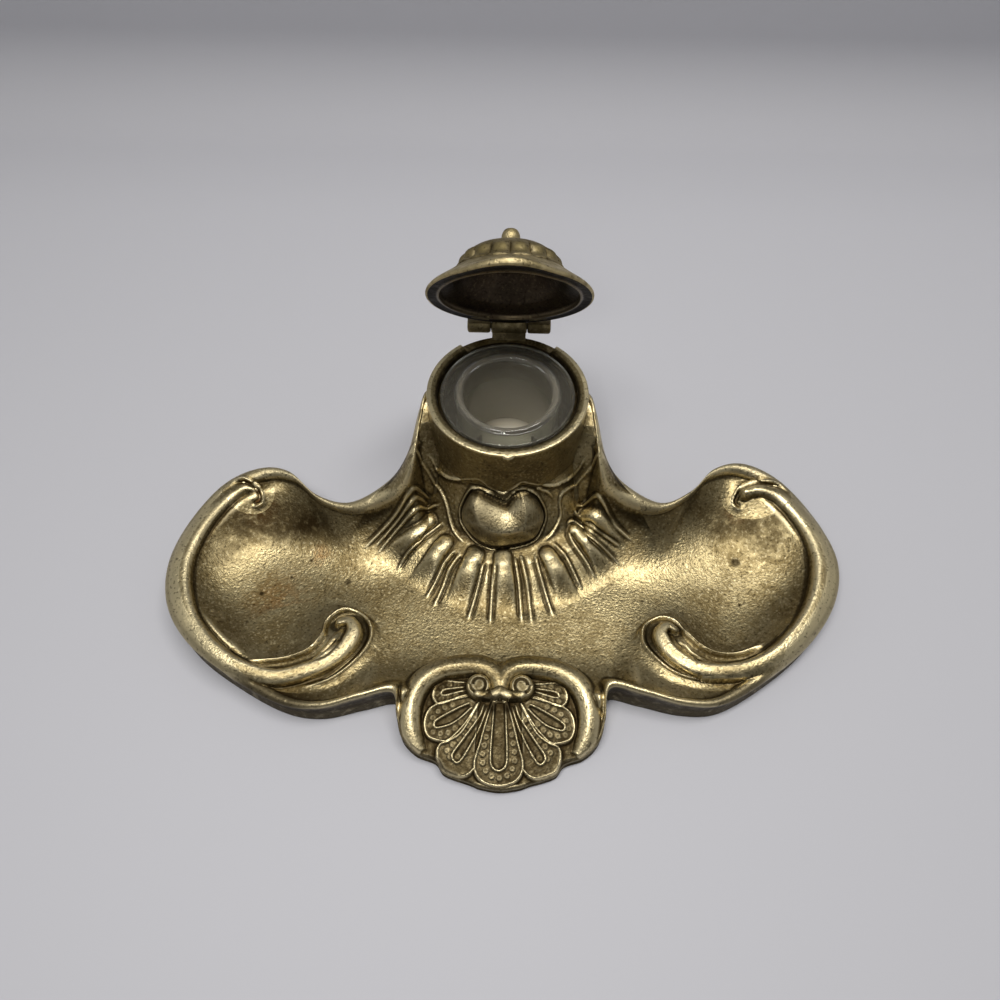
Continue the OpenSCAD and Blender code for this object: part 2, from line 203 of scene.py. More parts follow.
# Rolled rims: x, y, height of the middle, half width, half height
LEFT_ROLL = (
    (-94.5, -18.4, 14.8, 3, 3), (-98.5, -18.4, 14.4, 3.8, 3.8), (-104, -22.6, 13, 4.6, 4.6),
    (-110, -31.4, 11.8, 5, 5), (-113.8, -42, 11.2, 5.2, 5.2), (-114.6, -52, 11, 5.2, 5.2),
    (-112.4, -61.6, 10.8, 5, 5), (-107.4, -71, 10.8, 4.5, 4.5), (-100.2, -79, 10.8, 4, 4),
    (-91.5, -85.4, 10.8, 3.5, 3.5), (-82, -89.1, 10.6, 3.1, 3.1), (-73.5, -90.2, 10.4, 2.8, 2.8),
    (-65.5, -87.8, 10, 2.9, 2.6), (-58.5, -84, 9.8, 3, 2.4), (-53, -78.5, 9.7, 3, 2.3),
    (-50.8, -73, 9.6, 2.7, 2.1), (-53, -69, 9.4, 2.1, 1.8), (-56.5, -69.5, 9.2, 1.4, 1.4),
)
RIGHT_ROLL = (
    (90.5, -15.4, 14.8, 3, 3), (95.5, -14.2, 14.4, 3.8, 3.8), (103, -16.6, 13, 4.6, 4.6),
    (109, -24.2, 11.8, 5, 5), (112.8, -33, 11.2, 5.2, 5.2), (114.1, -43.5, 11, 5.2, 5.2),
    (112, -53.6, 10.8, 5, 5), (107.2, -63, 10.8, 4.5, 4.5), (100.6, -71.2, 10.8, 4.1, 4.1),
    (92.3, -78.6, 10.8, 3.6, 3.6), (83, -83.4, 10.6, 3.2, 3.2), (74, -85, 10.4, 3, 3),
    (66, -84, 10, 2.9, 2.6), (60, -80.6, 9.8, 3, 2.4), (55.5, -75.5, 9.7, 2.9, 2.3),
    (54, -71, 9.6, 2.4, 2.1), (56.5, -68.2, 9.4, 1.8, 1.7), (59.5, -69.5, 9.2, 1.3, 1.3),
)
ROLL_LEAN = 0.42
ROLL_REACH = 7.0
# Height that stands for no metal at all
NOWHERE = -50.0


# ---- curves and fields ----
def smooth_step(t):
    """0 below 0 and 1 above 1, with a smooth climb between."""
    u = np.clip(t, 0.0, 1.0)
    return u * u * (3 - 2 * u)


def smooth_max(a, b, k):
    """The higher of two heights, with a fillet of about k where they cross."""
    return (a + b + np.sqrt((a - b) ** 2 + k * k)) / 2


def curve(points, steps, closed=False):
    """Catmull-Rom curve through the points, with so many steps from one to the next."""
    p = np.array(points, float)
    m = len(p)
    if closed:
        before, start, end, after = (np.roll(p, s, 0) for s in (1, 0, -1, -2))
    else:
        before = p[np.maximum(np.arange(m - 1) - 1, 0)]
        start, end = p[:-1], p[1:]
        after = p[np.minimum(np.arange(m - 1) + 2, m - 1)]
    t = (np.arange(steps) / steps)[None, :, None]
    a, b, c, d = (q[:, None, :] for q in (before, start, end, after))
    out = (2 * b + (c - a) * t + (2 * a - 5 * b + 4 * c - d) * t ** 2
           + (3 * b - a - 3 * c + d) * t ** 3) / 2
    out = out.reshape(-1, p.shape[1])
    return out if closed else np.vstack([out, p[-1:]])


def bell(d, middle, width):
    """1 at the middle, falling off on both sides over about the width."""
    return np.exp(-((d - middle) / width) ** 2)


def lengths_along(path):
    """Length of the path up to each of its points."""
    steps = np.linalg.norm(np.diff(path, axis=0), axis=1)
    return np.concatenate([[0], np.cumsum(steps)])


def spaced(path, count):
    """So many points of the path's first two numbers, evenly apart along it."""
    along = lengths_along(path)
    t = np.linspace(0, along[-1], count)
    return np.stack([np.interp(t, along, path[:, 0]), np.interp(t, along, path[:, 1])], 1)


def near(points, path, reach, dims=2):
    """For each point within reach of the path: distance, share of the path's length,
    side (+1 on its left) and the path's own values there. Distance is inf further off."""
    shape = points.shape[:-1]
    flat = points.reshape(-1, points.shape[-1])
    low = path[:, :2].min(0) - reach
    high = path[:, :2].max(0) + reach
    index = np.nonzero(np.all((flat[:, :2] > low) & (flat[:, :2] < high), 1))[0]
    q = flat[index]
    best = np.full(len(q), np.inf)
    share = np.zeros(len(q))
    side = np.ones(len(q))
    values = np.zeros((len(q), path.shape[1]))
    lengths = np.linalg.norm(np.diff(path[:, :dims], axis=0), axis=1)
    along = lengths_along(path[:, :dims])
    total = along[-1]
    for i, length in enumerate(lengths):
        a, b = path[i], path[i + 1]
        ab = b[:dims] - a[:dims]
        t = np.clip((q[:, :dims] - a[:dims]) @ ab / max(length * length, 1e-12), 0, 1)
        d = np.linalg.norm(q[:, :dims] - a[:dims] - t[:, None] * ab, axis=1)
        closer = d < best
        best[closer] = d[closer]
        share[closer] = (along[i] + t[closer] * length) / total
        values[closer] = a + t[closer, None] * (b - a)
        cross = ab[0] * (q[closer, 1] - a[1]) - ab[1] * (q[closer, 0] - a[0])
        side[closer] = np.where(cross >= 0, 1.0, -1.0)
    out_d = np.full(len(flat), np.inf)
    out_t = np.zeros(len(flat))
    out_s = np.ones(len(flat))
    out_v = np.zeros((len(flat), path.shape[1]))
    out_d[index], out_t[index], out_s[index], out_v[index] = best, share, side, values
    out_d[out_d > reach] = np.inf
    return (out_d.reshape(shape), out_t.reshape(shape), out_s.reshape(shape),
            out_v.reshape(shape + (path.shape[1],)))


# ---- the tray's height ----
def flare(x, y):
    """Height of the foot that spreads out from the well into the trough."""
    r = np.maximum(np.hypot(x, y), SEAT_R)
    return FLARE_LOW + FLARE_RISE * np.exp((WELL_R - r) / FLARE_SPREAD)


def mound(x, y):
    """Rise of the floor under the scroll on that side."""
    cx = np.where(x < 0, SCROLL_LEFT[0], SCROLL_RIGHT[0])
    cy = np.where(x < 0, SCROLL_LEFT[1], SCROLL_RIGHT[1])
    return SCROLL_RISE * np.exp(-((x - cx) ** 2 + (y - cy) ** 2) / SCROLL_SPREAD)


def shell_dome(x, y):
    """Height of the plain dome that the shell is carved on."""
    return SHELL_TOP[2] - SHELL_FALL * np.hypot(x * SHELL_SQUEEZE, y - SHELL_TOP[1])


def shell_share(x, y):
    """1 on the shell, 0 outside it."""
    half_y = np.where(y < SHELL_MID_Y, SHELL_FRONT, SHELL_HALF[1])
    reach = np.hypot(x / SHELL_HALF[0], (y - SHELL_MID_Y) / half_y)
    return smooth_step((SHELL_EDGE - reach) / SHELL_FADE)


def lip_slope(y):
    """Height of the trough's floor where it rises to the front edge."""
    return FLOOR_Z + LIP_RISE * np.clip((MID_Y - MID_HALF - y) / LIP_RUN, 0, 1) ** 5


def lip_share(x, y):
    """1 where the front lip shapes the floor, 0 in the dishes and behind."""
    return (smooth_step((LIP_HALF - np.abs(x)) / LIP_SIDE_FADE)
            * smooth_step((MID_Y - y) / LIP_FADE)
            * (1 - smooth_step((LIP_END - y) / LIP_FADE)))


def web(x, y):
    """Height of the metal that joins the well's wall to the rim beside it."""
    turn = np.degrees(np.arctan2(np.abs(x), -y))
    rise = np.interp(turn, WEB_TURN, WEB_RISE)
    return np.interp(turn, WEB_TURN, WEB_Z) + rise * (np.hypot(x, y) - WELL_R)


def top_z(x, y, g, rim):
    """Height of the trough at a share g of the way from its middle line to the rim."""
    wall_rise = FLOOR_Z + (rim[:, 2] - rim[:, 3] - FLOOR_Z) * g ** rim[:, 4]
    trough = wall_rise + ((lip_slope(y) - wall_rise) * lip_share(x, y)
                          * smooth_step((1 - g) * LIP_BLEND))
    trough += (DISH_WALL * g ** 4 * smooth_step((1 - g) * WALL_BLEND)
               * smooth_step((np.abs(x) - DISH_WALL_X) / DISH_WALL_RUN))
    dip = DISH_DIP * np.exp(-((np.abs(x) - DISH_X) ** 2 + (y - DISH_Y) ** 2) / DISH_SPREAD)
    bowl = trough + mound(x, y) - dip * smooth_step((1 - g) * DIP_BLEND)
    foot = smooth_max(bowl, flare(x, y), FLARE_FILLET)
    near_well = smooth_step((WEB_REACH - np.hypot(x, y)) / WEB_FADE)
    blend = foot + np.maximum(web(x, y) - foot, 0) * near_well
    return blend + ((shell_dome(x, y) - blend) * shell_share(x, y)
                    * smooth_step((1 - g) * WALL_BLEND))


def middle(rim, half):
    """The point of the trough's middle line that each point of the rim slopes down to."""
    bow = MID_BOW * np.exp(-(rim[:, 0] * MID_SHARE / MID_BOW_W) ** 2)
    bow += DISH_SHIFT * smooth_step((np.abs(rim[:, 0]) * MID_SHARE - SHIFT_X) / SHIFT_RUN)
    lift = half * np.clip((rim[:, 1] - MID_Y) / MID_RUN, -1, 1)
    return np.stack([rim[:, 0] * MID_SHARE, MID_Y - bow + lift], 1)


def roll_z(points, path):
    """Height of a rolled rim over each x, y, or far below where there is none."""
    d, _, side, v = near(points, path, ROLL_REACH)
    inward = side * (1 if path[0, 0] < 0 else -1)
    signed = d * inward - ROLL_LEAN * v[..., 3]
    span = np.where(signed > 0, (1 - ROLL_LEAN) * v[..., 3], (1 + ROLL_LEAN) * v[..., 3])
    with np.errstate(invalid="ignore", divide="ignore"):
        u = np.where(np.isfinite(d), np.abs(signed) / span, 2.0)
    lift = np.sqrt(np.clip(1 - u ** 2, 0, 1))
    return np.where(u < 1, v[..., 2] + v[..., 4] * lift, NOWHERE)


# ---- meshes ----
def make_mesh(name, verts_mm, faces, body, node, material, sharp=None):
    """A mesh from millimetres in the well's frame, on its body and in its slot."""
    mesh = bpy.data.meshes.new(name)
    verts = np.asarray(verts_mm, float) * MM
    verts[:, 1] += WELL_Y
    faces = faces if isinstance(faces, list) else [faces]
    loops = np.concatenate([f.ravel() for f in faces]).astype(np.int32)
    counts = np.concatenate([np.full(len(f), f.shape[1]) for f in faces])
    mesh.vertices.add(len(verts))
    mesh.vertices.foreach_set("co", verts.ravel())
    mesh.loops.add(len(loops))
    mesh.loops.foreach_set("vertex_index", loops)
    mesh.polygons.add(len(counts))
    mesh.polygons.foreach_set("loop_start",
                              np.concatenate([[0], np.cumsum(counts)[:-1]]).astype(np.int32))
    mesh.update(calc_edges=True)
    mesh.validate()
    mesh.shade_smooth()
    if sharp:
        mesh.set_sharp_from_angle(angle=math.radians(sharp))
    obj = bpy.data.objects.new(name, mesh)
    bpy.context.scene.collection.objects.link(obj)
    mesh.materials.append(material)
    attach(obj, body)
    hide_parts(node)
    return obj


def grid_faces(rows, columns, closed, start=0):
    """Quads over rows of points; a closed grid joins its last column to its first."""
    i, j = np.meshgrid(np.arange(rows - 1), np.arange(columns if closed else columns - 1),
                       indexing="ij")
    k = (j + 1) % columns
    a = i * columns + j
    b = i * columns + k
    return start + np.stack([a, b, b + columns, a + columns], -1).reshape(-1, 4)


def revolve(profile, columns):
    """Vertices and faces of a profile of radius, height turned round the Z axis."""
    p = np.asarray(profile, float)
    turn = np.arange(columns) * 2 * math.pi / columns
    x = p[:, :1] * np.cos(turn)
    y = p[:, :1] * np.sin(turn)
    z = np.repeat(p[:, 1:2], columns, 1)
    return np.stack([x, y, z], -1).reshape(-1, 3), grid_faces(len(p), columns, True)


def round_corners(profile, radius, steps=6):
    """The profile with each inner corner turned into an arc-like curve."""
    p = np.asarray(profile, float)
    out = [p[0]]
    for a, b, c in zip(p[:-2], p[1:-1], p[2:]):
        cut_in = min(radius, np.linalg.norm(b - a) * 0.45)
        cut_out = min(radius, np.linalg.norm(c - b) * 0.45)
        start = b + (a - b) / np.linalg.norm(a - b) * cut_in
        end = b + (c - b) / np.linalg.norm(c - b) * cut_out
        for t in np.linspace(0, 1, steps):
            out.append(start * (1 - t) ** 2 + 2 * b * t * (1 - t) + end * t * t)
    out.append(p[-1])
    return np.array(out)


def paint(obj, name, values):
    """A number for each vertex, for the material to read."""
    layer = obj.data.attributes.new(name, "FLOAT", "POINT")
    layer.data.foreach_set("value", np.asarray(values, np.float32).ravel())


# ---- materials ----
def linear(code):
    """A colour written as sRGB hex, as the linear numbers that Blender works in."""
    parts = [int(code[i:i + 2], 16) / 255 for i in (1, 3, 5)]
    return tuple(c / 12.92 if c <= 0.04045 else ((c + 0.055) / 1.055) ** 2.4 for c in parts)


def add(tree, kind, inputs=None, out=None, **settings):
    """Adds a node with its settings and with values or links on its inputs.
    Gives the output of that name, or the node itself where none is named."""
    node = tree.nodes.new(kind)
    for key, value in settings.items():
        setattr(node, key, value)
    for key, value in (inputs or {}).items():
        if isinstance(value, bpy.types.NodeSocket):
            tree.links.new(value, node.inputs[key])
        else:
            node.inputs[key].default_value = value
    return node.outputs[out] if out else node


def empty_tree(owner):
    """The node tree of a material or a world, with nothing in it."""
    owner.use_nodes = True
    owner.node_tree.nodes.clear()
    return owner.node_tree


def cast_brass(name, colours, rough, pit_depth):
    """Sand-cast brass: the mould leaves a granular skin that breaks up the highlights.
    Ridges are rubbed bright, and brown dirt and tarnish stay where no hand reaches; painted shade
    is laid in the same brown."""
    if name in bpy.data.materials:
        return bpy.data.materials[name]
    aged, rubbed, tarnish, recess, rust = ((*c, 1.0) for c in colours)
    material = bpy.data.materials.new(name)
    tree = empty_tree(material)
    place = add(tree, "ShaderNodeTexCoord", out="Object")
    ridge, dirt, stain = (add(tree, "ShaderNodeAttribute", out="Fac", attribute_name=word)
                          for word in ("ridge", "dirt", "stain"))
    # Seed, lump size in millimetres and detail. Real sand grit is near 0.2 mm: it is drawn
    # at 0.55 mm, the finest that shows.
    clouds, mottle, speck, grit = (
        add(tree, "ShaderNodeTexNoise",
            {"Vector": place, "W": seed, "Scale": 1000 / lump, "Detail": detail},
            out="Fac", noise_dimensions="4D")
        for seed, lump, detail in ((1, 14, 5), (4, 2.2, 5), (11, 0.9, 2), (7, 0.55, 3)))
    half = add(tree, "ShaderNodeMath", {0: mottle, 1: 0.5}, out="Value", operation="MULTIPLY")
    blotch = add(tree, "ShaderNodeMath", {0: half, 1: clouds}, out="Value")
    worn = add(tree, "ShaderNodeMath", {0: mottle, 1: 0.6, 2: ridge}, out="Value",
               operation="MULTIPLY_ADD")
    sunken = add(tree, "ShaderNodeMath", {0: half, 1: ridge}, out="Value", operation="SUBTRACT")
    # What drives each coat, where it starts and is full, its least and most cover, its colour
    coats = ((blotch, 0.60, 0.92, 0.0, 0.85, tarnish, None),
             (worn, 0.30, 1.0, 0.0, 1.0, rubbed, None),
             (speck, 0.43, 0.31, 0.0, 0.6, recess, None),
             (speck, 0.55, 0.68, 0.0, 0.45, rubbed, None),
             (sunken, 0.42, 1.15, 0.0, 0.8, recess, None),
             (mottle, 0.3, 0.6, 0.0, 1.0, rust, stain),
             # The dirt attribute lays the recess colour as dirt and as painted shade
             (mottle, 0.25, 0.5, 0.7, 1.0, recess, dirt))
    colour = aged
    for driver, low, high, least, most, shade, mask in coats:
        cover = add(tree, "ShaderNodeMapRange",
                    {"Value": driver, "From Min": low, "From Max": high,
                     "To Min": least, "To Max": most},
                    out="Result", interpolation_type="SMOOTHSTEP")
        if mask is not None:
            cover = add(tree, "ShaderNodeMath", {0: cover, 1: mask}, out="Value",
                        operation="MULTIPLY")
        colour = add(tree, "ShaderNodeMix", {"Factor": cover, "A": colour, "B": shade},
                     out="Result", data_type="RGBA")
    polish = add(tree, "ShaderNodeMapRange",
                 {"Value": blotch, "From Min": 0.5, "From Max": 1.0,
                  "To Min": rough[0], "To Max": rough[1]},
                 out="Result", interpolation_type="SMOOTHSTEP")
    roughness = add(tree, "ShaderNodeMath", {0: cover, 1: 0.2, 2: polish}, out="Value",
                    operation="MULTIPLY_ADD")
    fine = add(tree, "ShaderNodeMath", {0: grit, 1: speck}, out="Value")
    height = add(tree, "ShaderNodeMath", {0: half, 1: fine}, out="Value")
    normal = add(tree, "ShaderNodeBump",
                 {"Height": height, "Strength": 1.0, "Distance": pit_depth}, out="Normal")
    shader = add(tree, "ShaderNodeBsdfPrincipled",
                 {"Base Color": colour, "Metallic": 1.0, "Roughness": roughness,
                  "Normal": normal}, out="BSDF")
    add(tree, "ShaderNodeOutputMaterial", {"Surface": shader})
    return material


def pressed_glass(clear, film):
    """Pressed soda-lime glass: clear and faintly wavy from the mould, with thick edges
    that catch the light. Dried ink and lime lie on it as a pale matt film."""
    material = bpy.data.materials.new("pressed_soda_lime_glass")
    tree = empty_tree(material)
    place = add(tree, "ShaderNodeTexCoord", out="Object")
    wave_mm = 5.0
    waves = add(tree, "ShaderNodeTexNoise",
                {"Vector": place, "W": 2.0, "Scale": 1000 / wave_mm, "Detail": 1},
                out="Fac", noise_dimensions="4D")
    normal = add(tree, "ShaderNodeBump",
                 {"Height": waves, "Strength": 0.6, "Distance": 0.1 * MM}, out="Normal")
    glass = add(tree, "ShaderNodeBsdfPrincipled",
                {"Base Color": (*clear, 1.0), "Roughness": 0.04, "IOR": 1.52,
                 "Transmission Weight": 1.0, "Normal": normal}, out="BSDF")
    lime = add(tree, "ShaderNodeBsdfPrincipled",
               {"Base Color": (*film, 1.0), "Roughness": 0.55}, out="BSDF")
    share = add(tree, "ShaderNodeAttribute", out="Fac", attribute_name="film")
    both = add(tree, "ShaderNodeMixShader", {0: share, 1: glass, 2: lime}, out="Shader")
    add(tree, "ShaderNodeOutputMaterial", {"Surface": both})
    return material


# Painted shade on the paper at the back: how dark it gets, and from where to where, in metres
BACK_PAINTED_SHADE = 0.93
BACK_PAINTED_SHADE_Y = (0.2, 0.29)


def backdrop_paper(colour):
    """Matt coated paper, whose tooth is too fine to show: an even pale sheet, with painted
    shade that darkens it a little where it climbs at the back."""
    material = bpy.data.materials.new("matt_backdrop_paper")
    tree = empty_tree(material)
    place = add(tree, "ShaderNodeTexCoord", out="Object")
    away = add(tree, "ShaderNodeSeparateXYZ", {0: place}, out="Y")
    share = add(tree, "ShaderNodeMapRange",
                {"Value": away, "From Min": BACK_PAINTED_SHADE_Y[0], "From Max": BACK_PAINTED_SHADE_Y[1]},
                out="Result", interpolation_type="SMOOTHSTEP")
    painted_shade_colour = tuple(c * BACK_PAINTED_SHADE for c in colour)
    shade = add(tree, "ShaderNodeMix",
                {"Factor": share, "A": (*colour, 1.0), "B": (*painted_shade_colour, 1.0)},
                out="Result", data_type="RGBA")
    shader = add(tree, "ShaderNodeBsdfPrincipled",
                 {"Base Color": shade, "Roughness": 0.85, "Specular IOR Level": 0.2},
                 out="BSDF")
    add(tree, "ShaderNodeOutputMaterial", {"Surface": shader})
    return material


# ---- stage ----
# Camera: its place in millimetres, how far it looks down, its turn and tilt in degrees
CAMERA_PLACE = (0.21, -132.65, 249.43)
CAMERA_DOWN = 56.6
CAMERA_YAW = -0.83
CAMERA_ROLL = 0.51
CAMERA_LENS = 27.04
# Backdrop: its near end, the wall it climbs, the radius of its sweep, its top, its half width
BACK_START_Y = -900.0
BACK_WALL_Y = 314.0
BACK_SWEEP = 44.0
BACK_TOP = 220.0
BACK_HALF_X = 1300.0
# Lamps: place, aim and size in metres, and colour
CEILING_LAMP = ((0.01, -0.04, 0.95), (0, -0.02, 0), (1.0, 0.2), (1.0, 0.97, 0.92))
FRONT_LAMP = ((-0.025, -0.135, 0.262), (0, 0, 0), (0.03, 0.03), (1.0, 0.98, 0.95))
FRONT_LAMP_POWER = 0.1


def build_camera():
    """The camera, pitched down at the inkstand and set as the scene's own."""
    down, yaw, roll = (math.radians(v) for v in (CAMERA_DOWN, CAMERA_YAW, CAMERA_ROLL))
    ahead = Vector((math.sin(yaw) * math.cos(down), math.cos(yaw) * math.cos(down),
                    -math.sin(down)))
    right = ahead.cross(Vector((0, 0, 1))).normalized()
    up = right.cross(ahead)
    turned = right * math.cos(roll) + up * math.sin(roll)
    data = bpy.data.cameras.new("camera")
    data.lens = CAMERA_LENS
    data.sensor_width = 36
    data.clip_start = 0.01
    camera = bpy.data.objects.new("camera", data)
    bpy.context.scene.collection.objects.link(camera)
    matrix = camera.matrix_world.copy()
    for column, axis in enumerate((turned, turned.cross(ahead), -ahead)):
        for row in range(3):
            matrix[row][column] = axis[row]
    for row in range(3):
        matrix[row][3] = CAMERA_PLACE[row] * MM
    camera.matrix_world = matrix
    bpy.context.scene.camera = camera


def build_floor(colour):
    """A sheet of backdrop paper that lies under the inkstand and sweeps up behind it."""
    bend_y = BACK_WALL_Y - BACK_SWEEP
    profile = [(BACK_START_Y, 0.0), (bend_y, 0.0)]
    profile += [(bend_y + BACK_SWEEP * math.sin(a), BACK_SWEEP * (1 - math.cos(a)))
                for a in np.linspace(0.1, math.pi / 2, 12)]
    profile.append((BACK_WALL_Y, BACK_TOP))
    verts = [(x * MM, y * MM, z * MM) for y, z in profile for x in (-BACK_HALF_X, BACK_HALF_X)]
    faces = [(2 * i, 2 * i + 1, 2 * i + 3, 2 * i + 2) for i in range(len(profile) - 1)]
    mesh = bpy.data.meshes.new("backdrop")
    mesh.from_pydata(verts, [], faces)
    mesh.shade_smooth()
    obj = bpy.data.objects.new("backdrop", mesh)
    bpy.context.scene.collection.objects.link(obj)
    mesh.materials.append(backdrop_paper(colour))


def build_lamp(name, place, aim, size, colour, energy):
    """A rectangular area lamp that faces its aim."""
    data = bpy.data.lights.new(name, "AREA")
    data.shape = "RECTANGLE"
    data.size, data.size_y = size
    data.energy = energy
    data.color = colour
    lamp = bpy.data.objects.new(name, data)
    bpy.context.scene.collection.objects.link(lamp)
    lamp.location = place
    direction = Vector(aim) - Vector(place)
    lamp.rotation_euler = direction.to_track_quat("-Z", "Y").to_euler()


def build_room():
    """A white room that is dim on the viewer's side and bright overhead and behind."""
    world = bpy.data.worlds.new("white_room")
    bpy.context.scene.world = world
    tree = empty_tree(world)
    place = add(tree, "ShaderNodeTexCoord", out="Generated")
    split = add(tree, "ShaderNodeSeparateXYZ", {0: place})
    sideways = add(tree, "ShaderNodeMath", {0: split.outputs["X"]}, out="Value",
                   operation="ABSOLUTE")
    behind, above, aside = (
        add(tree, "ShaderNodeMapRange",
            {"Value": way, "From Min": low, "From Max": high, "To Min": least, "To Max": most},
            out="Result", interpolation_type="SMOOTHSTEP")
        for way, low, high, least, most in (
            (split.outputs["Y"], -0.42, 0.12, 0.0, 1.0),
            (split.outputs["Z"], 0.45, 1.0, 0.02, 0.31),
            (sideways, 0.45, 0.9, 0.05, 0.35)))
    light = add(tree, "ShaderNodeMath", {0: behind, 1: above, 2: aside}, out="Value",
                operation="MULTIPLY_ADD")
    back = add(tree, "ShaderNodeBackground",
               {"Color": (0.975, 0.97, 0.96, 1.0), "Strength": light}, out="Background")
    add(tree, "ShaderNodeOutputWorld", {"Surface": back})


# ---- tray ----
# Fineness of the tray's net: points to each piece of the outline, rows over the top and the
# rolled edge, and how far the rows crowd towards the edge
OUTLINE_STEPS = 24
TOP_RINGS = 100
EDGE_RINGS = 12
RING_CROWDING = 0.3


def tray_outline():
    """The whole rim as one closed curve, from behind the well round the left dish first."""
    half_shell = [(-x, *rest) for x, *rest in SHELL_RIM]
    return curve([WELL_BACK, *LEFT_RIM, *half_shell, SHELL_TIP, *SHELL_RIM[::-1],
                  *RIGHT_RIM[::-1]], OUTLINE_STEPS, closed=True)


def zipper(outer, start):
    """Triangles that close a ring of points whose two long sides lie close together."""
    n = len(outer)
    first, last = int(np.argmin(outer[:, 0])), int(np.argmax(outer[:, 0]))
    front = [(first + k) % n for k in range((last - first) % n + 1)]
    back = [(first - k) % n for k in range((first - last) % n + 1)]
    i = j = 0
    faces = []
    while i < len(front) - 1 or j < len(back) - 1:
        move_front = j == len(back) - 1 or (
            i < len(front) - 1 and outer[front[i + 1], 0] <= outer[back[j + 1], 0])
        if move_front:
            faces.append((front[i], front[i + 1], back[j]))
            i += 1
        else:
            faces.append((front[i], back[j + 1], back[j]))
            j += 1
    return [tuple(start + v for v in f) for f in faces if len(set(f)) == 3]


def tray_grid():
    """Rows of points over the tray from its middle line to the inside of its foot."""
    rim = tray_outline()
    out = rim[:, :2]
    centre = middle(rim, MID_SLIVER)
    cad_span = np.linalg.norm(middle(rim, MID_HALF) - out, axis=1)
    span = np.linalg.norm(centre - out, axis=1)
    unit = (centre - out) / span[:, None]
    edge = 2 * rim[:, 3]

    def inset(d):
        return out + unit * np.asarray(d)[..., None]

    rows = []
    for s in np.linspace(0, 1, TOP_RINGS):
        share = s + RING_CROWDING * s * (1 - s)
        d = edge + (span - edge) * (1 - share)
        p = inset(d)
        g = np.clip(1 - (d - edge) / (cad_span - edge), 0, 1)
        rows.append(np.column_stack([p, top_z(p[:, 0], p[:, 1], g, rim)]))
    for a in np.linspace(math.pi, 0, EDGE_RINGS)[1:]:
        p = inset(rim[:, 3] * (1 - math.cos(a)))
        rows.append(np.column_stack([p, rim[:, 2] + rim[:, 3] * (math.sin(a) - 1)]))
    top_rows = len(rows)
    low = rim[:, 2] - rim[:, 3]
    for t in COVE_STEPS:
        p = inset(np.full(len(rim), COVE * math.sin(t * math.pi)))
        rows.append(np.column_stack([p, low * (1 - t)]))
    for d, z in ((0.0, FOOT_EASE), (FOOT_BEVEL, 0.0), (FOOT_T - FOOT_BEVEL, 0.0),
                 (FOOT_T, FOOT_EASE)):
        p = inset(np.full(len(rim), d))
        rows.append(np.column_stack([p, np.full(len(rim), z)]))
    p = inset(np.full(len(rim), FOOT_T + FOOT_BEVEL))
    rows.append(np.column_stack([p, np.maximum(low - WALL - UNDER_DROP, UNDER_LOW)]))
    for g in UNDER_SHARES:
        d = edge + (span - edge) * (1 - g)
        p = inset(d)
        rows.append(np.column_stack([p, top_z(p[:, 0], p[:, 1], g, rim) - WALL]))
    grid = np.array(rows)
    top = grid[:top_rows]
    for roll in (LEFT_ROLL, RIGHT_ROLL):
        top[..., 2] = np.maximum(top[..., 2], roll_z(top[..., :2], curve(roll, 6)))
    return grid, top_rows


# What a point's height over its neighbours, in millimetres, is multiplied by
RIDGE_GAIN = 6.0


def bumps_of(grid, closed):
    """How far each point stands from the mean of its neighbours."""
    def blur(a, times):
        for _ in range(times):
            side = (np.roll(a, 1, 1) + np.roll(a, -1, 1)) / 2 if closed else np.concatenate(
                [a[:, :1], (a[:, :-2] + a[:, 2:]) / 2, a[:, -1:]], 1)
            a = (a + side) / 2
            a = np.concatenate([a[:1], (a[:-2] + 2 * a[1:-1] + a[2:]) / 4, a[-1:]], 0)
        return a
    return blur(grid, 1) - blur(grid, 14)


def normals_of(grid, closed):
    """The direction that the grid's surface faces at each point."""
    if closed:
        across = np.roll(grid, -1, 1) - np.roll(grid, 1, 1)
    else:
        across = np.gradient(grid, axis=1)
    along = np.gradient(grid, axis=0)
    normal = np.cross(along, across)
    return normal / np.maximum(np.linalg.norm(normal, axis=-1, keepdims=True), 1e-9)


def ridges_of(grid, normal, closed):
    """From 1 on sharp ridges to -1 in grooves, for the brass to be rubbed or dirty by."""
    return np.clip((bumps_of(grid, closed) * normal).sum(-1) * RIDGE_GAIN, -1, 1)


# How far inside the well's outer face the tray's skin still runs on
BORE_MARGIN = 1.6
# Orange-brown stains: x, y, radius, strength
STAINS = ((-92, -25, 9, 0.8), (-68, -42, 6, 0.4), (87, -22, 6, 0.6), (-80, -60, 16, 0.3))
# Dark spots: x, y, radius
SPOTS = ((-56.3, -52.2, 1.7), (-86.9, -57.1, 1.2), (85.4, -40.6, 2.3), (-77.3, -50.3, 0.9),
         (84.6, -57.4, 1), (49.5, -57.6, 0.9), (-71, -43.7, 1))
# Painted shade: dark patches on the dishes' walls and at the front beside the shell: x, y, half
# widths, strength
PAINTED_SHADE_PATCHES = ((-84, -29, 24, 13, 0.85), (-60, -32, 22, 9, 0.6), (-86, -72, 22, 14, 0.2),
        (78, -24, 22, 12, 0.7), (52, -30, 16, 8, 0.55), (97, -30, 12, 14, 0.5),
        (-102, -38, 11, 16, 0.5), (-78, -97, 32, 13, 0.85), (80, -92, 29, 12, 0.7))
SPOT_DIRT = 0.95
# Painted shade on the edge's outer rows, round the shell's foot, and on the skirt from its top
# down
EDGE_ROWS = 5
EDGE_SHADE = 0.35
SHELL_ROWS = 9
SHELL_FOOT_SHADE = 0.75
SHELL_FOOT_SHADE_Y = -97.0
SHELL_FOOT_SHADE_X = 37.0
SKIRT_SHADE = (0.3, 0.6)
SKIRT_Z = 26.0
SKIRT_FADE = 12.0


